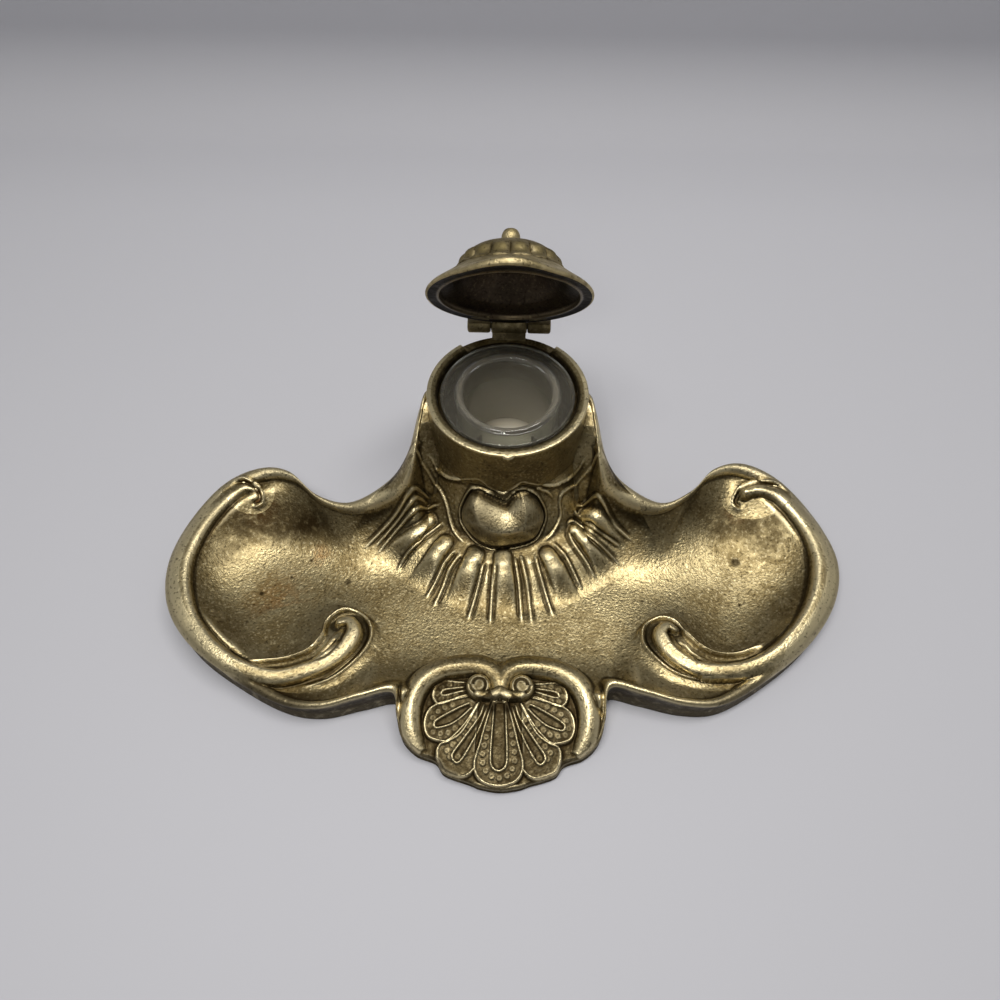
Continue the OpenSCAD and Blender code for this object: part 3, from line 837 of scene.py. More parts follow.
def tray_dirt_and_shade(grid, top_rows):
    """How dark each point of the tray is drawn: patches of painted shade, dark spots, and painted
    shade on the edge, the skirt and underside.
    """
    x, y = grid[..., 0], grid[..., 1]
    dirt = sum(deep * smooth_step(1.4 * (1 - np.hypot((x - cx) / rx, (y - cy) / ry)))
               for cx, cy, rx, ry, deep in PAINTED_SHADE_PATCHES)
    dirt += sum(SPOT_DIRT * smooth_step(1.6 * (1 - np.hypot(x - cx, y - cy) / r))
                for cx, cy, r in SPOTS)
    dirt = np.clip(dirt, 0, 1)
    edge = slice(top_rows - EDGE_ROWS, top_rows)
    dirt[edge] = np.maximum(dirt[edge], EDGE_SHADE)
    low = smooth_step((SKIRT_Z - grid[top_rows:, :, 2]) / SKIRT_FADE)
    dirt[top_rows:] = SKIRT_SHADE[0] + SKIRT_SHADE[1] * low
    at_shell = smooth_step((SHELL_FOOT_SHADE_Y - y) / 4) * smooth_step((SHELL_FOOT_SHADE_X - np.abs(x)) / 3)
    edge = slice(top_rows - SHELL_ROWS, top_rows)
    dirt[edge] = np.maximum(dirt[edge], SHELL_FOOT_SHADE * at_shell[edge])
    return dirt


def build_tray(material):
    """The tray's skin, sunk a little under the relief patches and open at the well's bore.
    Gives the rows of its top as they were before the sinking."""
    grid, top_rows = tray_grid()
    rows, columns = grid.shape[:2]
    normal = normals_of(grid, True)
    ridge = ridges_of(grid, normal, True)
    sunk = grid.copy()
    for patch in PATCHES:
        sunk[:top_rows, :, 2] -= patch.sink(grid[:top_rows, :, 0], grid[:top_rows, :, 1])
    verts = sunk.reshape(-1, 3)
    faces = grid_faces(rows, columns, True)[:, ::-1]
    inside = np.hypot(verts[:, 0], verts[:, 1]) < WELL_R - BORE_MARGIN
    faces = faces[~inside[faces].all(1)]
    caps = zipper(grid[0], 0)
    under = [f[::-1] for f in zipper(grid[-1], (rows - 1) * columns)]
    used = np.unique(np.concatenate([faces.ravel(), np.ravel(caps), np.ravel(under)]))
    index = np.full(len(verts), -1)
    index[used] = np.arange(len(used))
    parts = [index[faces], index[np.array(caps)], index[np.array(under)]]
    obj = make_mesh("tray_body", verts[used], parts, "stand", "tray_casting",
                    material)
    paint(obj, "ridge", ridge.reshape(-1)[used])
    paint(obj, "dirt", tray_dirt_and_shade(grid, top_rows).reshape(-1)[used])
    x, y = verts[used, 0], verts[used, 1]
    paint(obj, "stain", sum(smooth_step((r - np.hypot(x - cx, y - cy)) / r) * deep
                            for cx, cy, r, deep in STAINS))
    return grid[:top_rows]


def ring_piece(name, profile, columns, body, node, material, reshape=None, sharp=None):
    """A turned piece and its points, which reshape may move before the mesh is made."""
    verts, faces = revolve(profile, columns)
    if reshape is not None:
        verts = reshape(verts)
    return make_mesh(name, verts, faces, body, node, material, sharp), verts


# ---- well and liner ----
WALL_DIRT = 0.1
# Heights of the wall's rings, close together at the top for the notch and the tongue
WALL_RINGS = (0, 20, 40, 46, 48, 48.5, 49, 49.5, 50, 50.5, 51)
# Small tongue under the rim at the front: x, height, half widths and how proud it stands
TONGUE = (0.6, 50.4, 2.0, 1.7, 0.9)


def build_well(material):
    """The well's wall with its rim, the seat for the liner, the ledge and the bore."""
    seat_z = RIM_Z - SEAT_DEPTH
    under_z = seat_z - LEDGE_T
    bore_r = SEAT_R + BORE_RELIEF
    profile = round_corners([
        (WELL_R - 2, 0), *((WELL_R, z) for z in WALL_RINGS),
        (WELL_R, RIM_Z - 0.1), (WELL_R - 1.4, RIM_Z),
        (SEAT_R + 0.9, RIM_Z - 0.1), (SEAT_R, RIM_Z - 0.6), (SEAT_R, seat_z),
        (SEAT_R - LEDGE_W, seat_z), (SEAT_R - LEDGE_W, under_z),
        (bore_r, under_z), (bore_r, 4), (bore_r, 0),
    ], 0.7)

    def cut_notch(v):
        behind = np.degrees(np.abs(np.arctan2(v[:, 0], v[:, 1])))
        top = RIM_Z - NOTCH_DEPTH * smooth_step((NOTCH_ANGLE - behind) / NOTCH_FADE)
        v[:, 2] = np.minimum(v[:, 2], top + np.maximum(v[:, 2] - RIM_Z, 0) * 0.3)
        x, z, half_x, half_z, proud = TONGUE
        u = np.hypot((v[:, 0] - x) / half_x, (v[:, 2] - z) / half_z)
        outer_front = (v[:, 1] < 0) & (np.hypot(v[:, 0], v[:, 1]) > WELL_R - 1)
        v[:, 1] -= np.where(outer_front, proud * np.sqrt(np.clip(1 - u ** 2, 0, 1)), 0)
        return v

    obj, verts = ring_piece("well_wall", profile, 400, "stand", "tray_casting",
                            material, cut_notch, 35)
    z = verts[:, 2]
    r = np.hypot(verts[:, 0], verts[:, 1])
    in_seat = smooth_step((SEAT_R + 1.0 - r) / 0.5) * smooth_step((z - 1) / 2)
    rubbed = smooth_step((z - RIM_Z + 1.3) / 0.8) * smooth_step((r - WELL_R + 1.9) / 0.8)
    bore = smooth_step((RIM_Z - 4 - z) / 1.5)
    outer_wall = smooth_step((r - WELL_R + 0.6) / 0.3) * smooth_step((RIM_Z - 1 - z) / 1)
    paint(obj, "ridge", 0.9 * rubbed - 0.25 * in_seat)
    paint(obj, "dirt", in_seat * (0.94 - 0.35 * bore) + WALL_DIRT * outer_wall)


def build_liner(material):
    """The glass cup: a thick floor, a straight wall, a flat flange and a raised lip."""
    body_r = MOUTH_R + GLASS_WALL
    top = RIM_Z - 1
    profile = round_corners([
        (0.02, 9.8), (body_r - 4.5, 9.0), (body_r - 1.5, 9.2), (body_r, 12),
        (body_r, top - FLANGE_T), (FLANGE_R, top - FLANGE_T), (FLANGE_R, top),
        (body_r + 0.9, top - 0.1), (body_r - 0.1, top + 0.7),
        (MOUTH_R + 0.8, top + 0.7), (MOUTH_R, top - 0.6), (MOUTH_R, 18.5), (MOUTH_R - 1.2, 15.4),
        (MOUTH_R - 4, 14), (0.02, 13.5),
    ], 0.55)
    obj, verts = ring_piece("liner_glass", profile, 256, "stand", "glass_liner",
                            material)
    r = np.hypot(verts[:, 0], verts[:, 1])
    wall = 0.12 * smooth_step((body_r + 0.3 - r) / 0.5)
    base = 0.9 * smooth_step((20 - verts[:, 2]) / 4)
    paint(obj, "film", 0.06 + wall + base)


# ---- lid ----
def opened(v):
    """Points of the closed lid, turned to where it stands open."""
    angle = math.radians(-OPEN_ANGLE)
    y = v[:, 1] - AXIS_Y
    z = v[:, 2] + RIM_Z + RIM_GAP - AXIS_Z
    return np.stack([v[:, 0], AXIS_Y + y * math.cos(angle) - z * math.sin(angle),
                     AXIS_Z + y * math.sin(angle) + z * math.cos(angle)], 1)


# Band of the gadroons, from its foot to its top
GADROON_LOW = 7.6
GADROON_HIGH = 13.6
# Thumb lip: half its turn in degrees, how wide a ring it is drawn from, its reach and rise
LIP_TURN = 35.0
LIP_RING = 6.5
LIP_REACH = 2.6
LIP_LIFT = 1.2


def lid_shape(v, outside, sizes):
    """Swells the gadroon band and draws the brim out into the thumb lip at the front."""
    angle = np.arctan2(v[:, 0], -v[:, 1])
    r = np.hypot(v[:, 0], v[:, 1])
    lobe = np.abs(np.sin(sizes.gadroons * angle / 2))
    band = np.sin(np.clip((v[:, 2] - GADROON_LOW) / (GADROON_HIGH - GADROON_LOW), 0, 1) * math.pi)
    band = np.where(outside, np.sqrt(np.clip(band, 0, 1)), 0)
    swell = sizes.gadroon_swell / MM * band * np.sqrt(lobe)
    front = smooth_step((LIP_TURN - np.degrees(np.abs(angle))) / LIP_TURN)
    brim = smooth_step((r - BRIM_R + LIP_RING) / LIP_RING)
    new_r = r + swell + LIP_REACH * front * brim
    scale = new_r / np.maximum(r, 1e-6)
    out = v.copy()
    out[:, :2] *= scale[:, None]
    above = smooth_step((v[:, 2] + 0.1) / 1.2)
    out[:, 2] += swell * 0.1 + LIP_LIFT * front * brim ** 2 * above
    return out, lobe * band


# Profiles of radius and height: the outside from the brim up, the hollow from its crown down
# and out under the brim, and the knob
LID_OUTSIDE = (
    (BRIM_R - 0.7, 0.05), (BRIM_R, 0.25), (BRIM_R, 0.9), (BRIM_R - 0.9, 1.9), (BRIM_R - 3.2, 3.5),
    (BRIM_R - 5.7, 5.3), (BRIM_R - 7.9, 7), (BRIM_R - 9.8, 8.3), (BRIM_R - 11.2, 8.9),
    (BRIM_R - 12.2, 10), (BRIM_R - 12.5, 12.2), (BRIM_R - 13.1, 13.9), (12.4, 15.5), (8, 16.8),
    (4, 17.3), (2, 17.5),
)
LID_HOLLOW = (
    (2, DOME_TOP - 2.3), (6, DOME_TOP - 2.8), (RECESS_R - 11.7, DOME_TOP - 5.2),
    (RECESS_R - 9.7, 10.4), (RECESS_R - 8.1, 8.6), (RECESS_R - 6.5, 6.4),
    (RECESS_R - 4.5, 4.2), (RECESS_R - 2.1, 2.6), (RECESS_R - 0.5, 1.9), (RECESS_R, 1),
    (RECESS_R, 0), (RECESS_R + 0.5, -0.02), (RECESS_R + 1, 0.25), (RECESS_R + 2, 0.3),
    (BRIM_R - 0.7, 0.05),
)
KNOB = (
    (0.02, DOME_TOP + 5.9), (2.2, DOME_TOP + 5.6), (3.2, DOME_TOP + 3.6), (3.0, DOME_TOP + 1.6),
    (1.8, DOME_TOP + 0.6), (2.2, DOME_TOP - 0.4), (3.4, DOME_TOP - 0.8),
)
LID_COLUMNS = 480
LID_STEP = 0.28
GADROON_DIRT = 0.45
# Edges sharper than this, in degrees, stay crisp
LID_SHARP = 50


def build_lid(sizes, material, inside_material):
    """The lid's outside, its dark hollow and the knob."""
    rounded = round_corners(LID_OUTSIDE, 0.6, 5)
    body = rounded[3:]
    even = spaced(body, int(lengths_along(body)[-1] / LID_STEP) + 2)
    verts, faces = revolve(np.vstack([rounded[:3], even, [(0.02, DOME_TOP)]]), LID_COLUMNS)
    z = verts[:, 2]
    shaped, lobes = lid_shape(verts, z > 0.5, sizes)
    dome = make_mesh("lid_dome", opened(shaped), faces, "lid", "lid_casting",
                     material, LID_SHARP)
    ridge = np.where(z > GADROON_LOW - 0.5, np.clip(lobes * 1.3 - 0.45, -0.8, 0.5), 0.1)
    paint(dome, "ridge", np.where(z > GADROON_HIGH, 0.0, ridge))
    paint(dome, "dirt", GADROON_DIRT * smooth_step((z - GADROON_LOW + 0.8) / 1.2))

    crown = [(0.02, DOME_TOP - 2.2)]
    verts, faces = revolve(np.vstack([crown, round_corners(LID_HOLLOW, 0.5, 5)]), LID_COLUMNS)
    hollow, _ = lid_shape(verts, np.zeros(len(verts), bool), sizes)
    inside = make_mesh("lid_hollow", opened(hollow), faces, "lid", "lid_casting",
                       inside_material, LID_SHARP)
    r = np.hypot(verts[:, 0], verts[:, 1])
    paint(inside, "ridge", 1.2 * ridge_of(np.abs(r - RECESS_R - 0.3), 0.7))
    # Painted shade on the flat ring under the brim
    paint(inside, "dirt", smooth_step((r - RECESS_R - 0.8) / 0.6))

    verts, faces = revolve(round_corners(KNOB, 1.2, 6), 64)
    knob = make_mesh("lid_knob", opened(verts), faces[:, ::-1], "lid", "lid_casting",
                     material)
    paint(knob, "ridge", np.where(verts[:, 2] > DOME_TOP + 1.4, 0.25, -0.6))
    paint(knob, "dirt", np.zeros(len(verts)))


# ---- hinge ----
HINGE_DIRT = 0.5
HINGE_BEVEL = 0.8
# Radii of the rolled ends and of the plain leaves inside them, which are shorter at each end
LUG_R = 2.9
LUG_LEAF_R = 2.5
KNUCKLE_R = 2.7
KNUCKLE_LEAF_R = 2.3
LEAF_INSET = 0.4


def arc(y, z, r, start, stop, steps):
    """Points of y, z on an arc, between two angles in degrees."""
    return [(y + r * math.cos(math.radians(a)), z + r * math.sin(math.radians(a)))
            for a in np.linspace(start, stop, steps)]


def build_prism(name, outline, x0, x1, reshape, body, node, material):
    """A bar of the y, z outline from x0 to x1 with rounded edges."""
    n = len(outline)
    verts = np.array([(x, y, z) for x in (x0, x1) for y, z in outline], float)
    if reshape is not None:
        verts = reshape(verts)
    verts = verts * MM
    verts[:, 1] += WELL_Y
    sides = [(i, (i + 1) % n, n + (i + 1) % n, n + i) for i in range(n)]
    mesh = bpy.data.meshes.new(name)
    mesh.from_pydata(verts.tolist(), [], [tuple(range(n))[::-1], tuple(range(n, 2 * n)), *sides])
    obj = bpy.data.objects.new(name, mesh)
    bpy.context.scene.collection.objects.link(obj)
    mesh.materials.append(material)
    mesh.shade_smooth()
    rounding = obj.modifiers.new("rounding", "BEVEL")
    rounding.width = HINGE_BEVEL * MM
    rounding.segments = 3
    rounding.limit_method = "ANGLE"
    rounding.angle_limit = math.radians(50)
    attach(obj, body)
    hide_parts(node)
    paint(obj, "ridge", np.full(2 * n, 0.0))
    paint(obj, "dirt", np.full(2 * n, HINGE_DIRT))


def build_barrel(name, start, stop, r, centre, reshape, body, node, material):
    """The rolled end of a hinge leaf, along X with rounded rims."""
    profile = round_corners([(0.02, start), (r, start), (r, (start + stop) / 2), (r, stop),
                             (0.02, stop)], 1.1)
    verts, faces = revolve(profile, 64)
    verts = np.stack([verts[:, 2], verts[:, 0] + centre[0], verts[:, 1] + centre[1]], 1)
    verts = reshape(verts) if reshape else verts
    barrel = make_mesh(name, verts, faces, body, node, material)
    paint(barrel, "ridge", np.full(len(verts), 0.15))
    paint(barrel, "dirt", np.full(len(verts), HINGE_DIRT))


def build_lug(material):
    """The middle lug behind the well, which tapers down into the wall."""
    build_barrel("hinge_lug_barrel", -LUG_W / 2, LUG_W / 2, LUG_R, (AXIS_Y, AXIS_Z), None,
                 "stand", "tray_casting", material)
    foot_z = RIM_Z - 14
    leaf = arc(AXIS_Y, AXIS_Z, LUG_LEAF_R, -25, 205, 26)
    leaf += [(WELL_R - 2, AXIS_Z - 2.2), (WELL_R - 2, foot_z), (WELL_R - 0.2, foot_z)]
    build_prism("hinge_lug", leaf, -LUG_W / 2 + LEAF_INSET, LUG_W / 2 - LEAF_INSET, None,
                "stand", "tray_casting", material)


def build_knuckles(material):
    """The lid's two knuckles, one on each side of the lug."""
    centre = (AXIS_Y, AXIS_Z - RIM_Z - RIM_GAP)
    leaf = arc(*centre, KNUCKLE_LEAF_R, -180, 90, 26)
    leaf += [(BRIM_R - 6, 3.0), (BRIM_R - 6, 0.2), (AXIS_Y - 2.4, 0.2)]
    starts = {"left": -LUG_W / 2 - SIDE_GAP - KNUCKLE_W, "right": LUG_W / 2 + SIDE_GAP}
    for side, x in starts.items():
        build_prism(f"lid_knuckle_{side}", leaf, x + LEAF_INSET, x + KNUCKLE_W - LEAF_INSET,
                    opened, "lid", "lid_casting", material)
        build_barrel(f"lid_barrel_{side}", x, x + KNUCKLE_W, KNUCKLE_R, centre, opened,
                     "lid", "lid_casting", material)


def build_pin(material):
    """The pin, as long as the frame says, with rounded ends."""
    half = (PIN_HIGH.x - PIN_LOW.x) / MM / 2
    profile = round_corners([(0.02, -half), (PIN_R, -half), (PIN_R, 0), (PIN_R, half),
                             (0.02, half)], 0.5)
    verts, faces = revolve(profile, 40)
    verts = np.stack([verts[:, 2], verts[:, 0] + AXIS_Y, verts[:, 1] + AXIS_Z], 1)
    pin = make_mesh("pin_rod", verts, faces, "stand", "hinge_pin", material)
    paint(pin, "ridge", np.zeros(len(verts)))
    paint(pin, "dirt", np.full(len(verts), 0.3))


# ---- relief patches: finer meshes laid over the tray where it is chased ----
# How far the tray sinks under a patch, from where inside its edge and over what width
SINK = 0.8
SINK_INSET = 0.7
SINK_FADE = 1.5
# How far a patch lies over the tray, and the width over which its relief rises
LIFT = 0.02
EDGE_FADE = 2.2


def sink_of(margin):
    return SINK * smooth_step((margin - SINK_INSET) / SINK_FADE)


def ridge_of(d, half):
    """Cross-section of a thin raised line, so far from its middle."""
    return np.clip(1 - (d / half) ** 2, 0, 1) ** 2


def chased_line(d, height, half, depth, beside, width):
    """A raised line with a groove of that depth and width beside it."""
    return height * ridge_of(d, half) - depth * bell(d, beside, width)


def ends_of(t, fade_in, fade_out):
    """1 along a line, fading to 0 over a share of its length at each end."""
    return smooth_step(t / fade_in) * smooth_step((1 - t) / fade_out)


def inside_of(points, polygon):
    """True for each point that lies in the closed polygon."""
    x, y = points[..., 0], points[..., 1]
    hit = np.zeros(x.shape, bool)
    for a, b in zip(polygon, np.roll(polygon, -1, 0)):
        crosses = (a[1] > y) != (b[1] > y)
        with np.errstate(divide="ignore", invalid="ignore"):
            at = (b[0] - a[0]) * (y - a[1]) / (b[1] - a[1]) + a[0]
        hit ^= crosses & (x < at)
    return hit


class Ground:
    """The tray's top surface before it is sunk under the patches, felt from above."""

    sky = 90.0

    def __init__(self, grid):
        faces = grid_faces(*grid.shape[:2], True).tolist() + zipper(grid[0], 0)
        self.tree = BVHTree.FromPolygons(grid.reshape(-1, 3).tolist(), faces)

    def heights(self, points):
        flat = points.reshape(-1, 2)
        out = np.zeros(len(flat))
        down = Vector((0, 0, -1))
        for i, (x, y) in enumerate(flat.tolist()):
            hit = self.tree.ray_cast(Vector((x, y, self.sky)), down)[0]
            out[i] = hit.z if hit is not None else 0.0
        return out.reshape(points.shape[:-1])

    def draped(self, points, steps=5):
        """A curve through the points' x, y that lies on the surface."""
        path = curve([p[:2] for p in points], steps)
        return np.column_stack([path, self.heights(path)])


class RoundPatch:
    """A patch with its grid turned about a middle point, out to an ellipse or an outline."""

    def __init__(self, name, centre, reach, turns, rings, relief=None):
        self.name = name
        self.centre = np.array(centre, float)
        self.reach = reach
        self.turns = turns
        self.rings = rings
        self.relief = relief

    def margin(self, x, y):
        """How far inside the patch's edge a point lies."""
        dx, dy = x - self.centre[0], y - self.centre[1]
        return self.reach(np.arctan2(dy, dx)) - np.hypot(dx, dy)

    def sink(self, x, y):
        return sink_of(self.margin(x, y))

    def grid(self, ground):
        angle = np.arange(self.turns) * 2 * math.pi / self.turns
        share = np.linspace(0.002, 1, self.rings)[:, None]
        r = share * self.reach(angle)[None, :]
        flat = np.stack([self.centre[0] + r * np.cos(angle),
                         self.centre[1] + r * np.sin(angle)], -1)
        return np.dstack([flat, softened(ground.heights(flat), True)]), True


def ellipse_reach(half_x, half_y):
    """Distance from an ellipse's middle to its edge, for any direction."""
    return lambda a: 1 / np.hypot(np.cos(a) / half_x, np.sin(a) / half_y)


def softened(z, closed, times=2):
    """Heights with the facets of the ground's net smoothed out."""
    for _ in range(times):
        side = (np.roll(z, 1, 1) + np.roll(z, -1, 1)) if closed else np.concatenate(
            [2 * z[:, :1], z[:, :-2] + z[:, 2:], 2 * z[:, -1:]], 1)
        z = (2 * z + side) / 4
        z = np.concatenate([z[:1], (z[:-2] + 2 * z[1:-1] + z[2:]) / 4, z[-1:]], 0)
    return z


# The patch on the well's foot: half its turn in degrees, how high it climbs the wall, and
# its reach from the well's middle at each turn from the front
FOOT_HALF = 80.0
FOOT_TOP = 42.5
FOOT_TURN = (0, 48, 54, 58, 62, 65, 70, 80)
FOOT_REACH = (74, 74, 71, 65, 53, 39, 33, 31)
FOOT_COLUMNS = 520
FOOT_ROWS = 170
FOOT_CROWDING = 1.15
WALL_ROWS = 46


class FootPatch:
    """The front of the well's wall and its flared foot, out into the trough."""

    name = "well_foot_relief"

    def __init__(self, relief):
        self.relief = relief

    def margin(self, x, y):
        r = np.hypot(x, y)
        turn = np.arctan2(x, -y)
        return np.minimum(self.out_r(turn) - r, (np.radians(FOOT_HALF) - np.abs(turn)) * r)

    def out_r(self, angle):
        return np.interp(np.abs(np.degrees(angle)), FOOT_TURN, FOOT_REACH)

    def sink(self, x, y):
        return sink_of(self.margin(x, y))

    def grid(self, ground):
        angle = np.radians(np.linspace(-FOOT_HALF, FOOT_HALF, FOOT_COLUMNS))
        low_r = WELL_R + 0.12
        around = np.stack([np.sin(angle), -np.cos(angle)], 1)
        start = ground.heights(around * low_r)
        top = np.maximum(FOOT_TOP, start + 0.4)
        up = np.linspace(1, 0, WALL_ROWS)[:-1, None]
        wall_z = start + (top - start) * up
        wall = np.dstack([np.repeat((around * (WELL_R + 0.03))[None], len(up), 0), wall_z])
        out = np.linspace(0, 1, FOOT_ROWS)[:, None] ** FOOT_CROWDING
        r = low_r + (self.out_r(angle)[None, :] - low_r) * out
        flat = r[..., None] * around[None]
        foot = np.dstack([flat, softened(ground.heights(flat), False, 1)])
        return np.concatenate([wall, foot]), False


def build_patch(patch, ground, sizes, material):
    """Raises the patch's relief along the surface's own direction."""
    grid, closed = patch.grid(ground)
    normal = normals_of(grid, closed)
    normal[normal[..., 2] < -0.2] *= -1
    margin = patch.margin(grid[..., 0], grid[..., 1])
    relief, own_dirt_and_shade = patch.relief(grid, ground, sizes)
    fade = smooth_step(margin / EDGE_FADE)
    shaped = grid + normal * (relief * fade + LIFT)[..., None]
    if closed:
        shaped[0] = shaped[0].mean(0)
    ridge = ridges_of(shaped, normals_of(shaped, closed), closed)
    faces = grid_faces(*grid.shape[:2], closed)
    faces = faces[:, ::-1] if winds_down(shaped, faces) else faces
    obj = make_mesh(patch.name, shaped.reshape(-1, 3), faces, "stand", "tray_casting",
                    material)
    paint(obj, "ridge", ridge)
    paint(obj, "dirt", own_dirt_and_shade)


def winds_down(grid, faces):
    """True where the face in the middle of the list looks down."""
    v = grid.reshape(-1, 3)
    f = faces[len(faces) // 2]
    return np.cross(v[f[1]] - v[f[0]], v[f[2]] - v[f[0]])[2] < 0


# Collar round the well's wall: x, y, height
COLLAR = (
    (-28.7, -15.4, 35.5), (-26.4, -16.6, 29.2), (-21, -21, 29), (-17, -23.4, 31), (-12.5, -26, 35),
    (-9, -27.5, 36.5), (-5, -28.5, 33), (-0.5, -29, 31), (3.5, -28.5, 35), (6, -28.3, 37),
    (11.5, -26.5, 33), (18, -23.5, 29), (25, -18, 28.6), (28.5, -15.4, 35.5),
)
# Scrolls that run down from the collar on both sides of the boss: x, y
S_CURVES = (
    ((-32, -16.5), (-28, -18.5), (-24.5, -21.5), (-21.5, -26.5), (-19.5, -32.5), (-17.5, -35.5),
     (-13.5, -39)),
    ((33, -16.5), (29.5, -18), (26, -19.5), (21, -23.5), (19.5, -26), (20, -30), (17, -35),
     (13, -38)),
)
# Raised ring round the boss: x, y, height
BOSS_RING = (
    (0, -30, 28), (-3, -29.3, 29.2), (-7.5, -28, 31.2), (-10, -27.1, 31.1), (-12.6, -26.6, 29),
    (-15.6, -28.7, 22.5), (-16, -31, 19), (-15, -33.5, 16.5), (-10.5, -38, 13.4),
    (-4, -40.6, 12.3), (4, -40, 13), (11, -37.3, 14), (14, -32.7, 18), (14.2, -30, 21.3),
    (12.7, -28.5, 25.3), (10.5, -27.6, 29), (7.5, -27.9, 31.8), (4.7, -28.5, 32.6), (0, -30, 28),
)
# Second line on the boss's right: x, y, height
CRESCENT = ((10.3, -27, 31.8), (12, -26.3, 30), (15, -26, 28), (19, -27.7, 23), (20, -29.8, 20),
            (19.4, -32.6, 17.5), (17, -35, 16), (13, -38, 14.5))
# Thin rays between the fingers: x, y
RAYS = (
    ((-26.3, -23.5), (-29, -22.8), (-33.5, -25), (-42.5, -32), (-52.5, -41)),
    ((-29, -24.2), (-33, -26.2), (-40.5, -32), (-47.7, -39.5)),
    ((-23.5, -26.5), (-26, -25.6), (-29, -26), (-34.5, -29), (-40.5, -34), (-47, -42.5)),
    ((-22.7, -31), (-29.5, -36), (-36, -42.5), (-39, -48.5)),
    ((-17, -40), (-21, -45.5), (-24.5, -52.5), (-28, -59)),
    ((-15, -41.5), (-19, -47.5), (-22, -55), (-25, -62)),
    ((-7, -44.5), (-9, -54), (-12.5, -67)),
    ((-3.5, -44.5), (-4, -54), (-4.5, -68.5)),
    ((3.5, -42.5), (5.5, -54), (6.7, -67.5)),
    ((5.5, -41.5), (8.5, -54), (10.2, -68)),
    ((10.5, -41.5), (13, -50), (18, -65)),
    ((17, -37), (22, -42.7), (28.5, -54.5)),
    ((23, -32), (24, -36.5), (29.3, -43.3), (33.5, -50)),
    ((23, -32), (24, -30), (26.5, -29.8), (32.5, -33.8), (43, -44.5)),
    ((25.3, -25.7), (26.5, -27.2), (32.5, -30.3), (43.5, -38)),
    ((25.3, -25.7), (26.8, -24.4), (31, -24.2), (34.8, -26.2), (41.5, -31.5), (48, -36.5)),
)
# Raised fingers of the fan: each one's path, then half widths at its head and its foot
FINGERS = (
    (((-28, -29.5), (-31.5, -32.5), (-36, -37), (-42, -44.5)), 3.0, 5.0),
    (((-20.7, -37.5), (-24, -42), (-28, -48.5), (-32.5, -56)), 3.0, 4.6),
    (((-10, -42), (-12.5, -49), (-15, -57), (-17.5, -65)), 3.4, 5.0),
    (((-0.5, -42.5), (0, -49), (0.5, -58), (1, -68)), 3.2, 4.8),
    (((14.8, -41), (18, -46.5), (21.5, -53.5), (24.5, -61)), 2.8, 4.6),
    (((25, -32), (29, -36), (33.5, -41.5), (38, -48)), 2.2, 3.2),
    (((29.5, -26.8), (34.5, -29), (40, -33), (45, -38)), 2.4, 2.8),
)
# Lines of the foot: height, half width, and the depth, distance and width of the groove
SCROLL_LINE = (0.7, 0.85, 0.3, 1.3, 0.5)
RAY_LINE = (0.72, 0.28, 1.15, 0.5)
# Collar: its line, the bead above and the hollow under it, as height or depth and width
COLLAR_LINE = (0.75, 0.85)
COLLAR_ABOVE = (0.45, 3.5)
COLLAR_UNDER = (0.3, 2.2)
# Boss: no part of it lies over this height; how far in from its ring it is full; the ring
# with the groove beside it, and how deep the boss is set
BOSS_TOP = 33.0
BOSS_RUN = 10.5
BOSS_INSET = 0.8
BOSS_LINE = (0.95, 0.95, 0.4, 1.5, 0.6)
BOSS_SET = 0.4
# Low swell under the fan: height, its outer and inner radius, its turn, each with its fade
FAN_SWELL = 3.6
FAN_OUT = (64, 15)
FAN_IN = (38, 8)
FAN_TURN = (58, 16)
# Painted highlight on the boss: its middle x, y and how far out it stays bright, and the painted
# shade on the rest of it
BOSS_PAINTED_HIGHLIGHT = (1.5, -34.5, 5.0)
BOSS_PAINTED_SHADE = 0.62


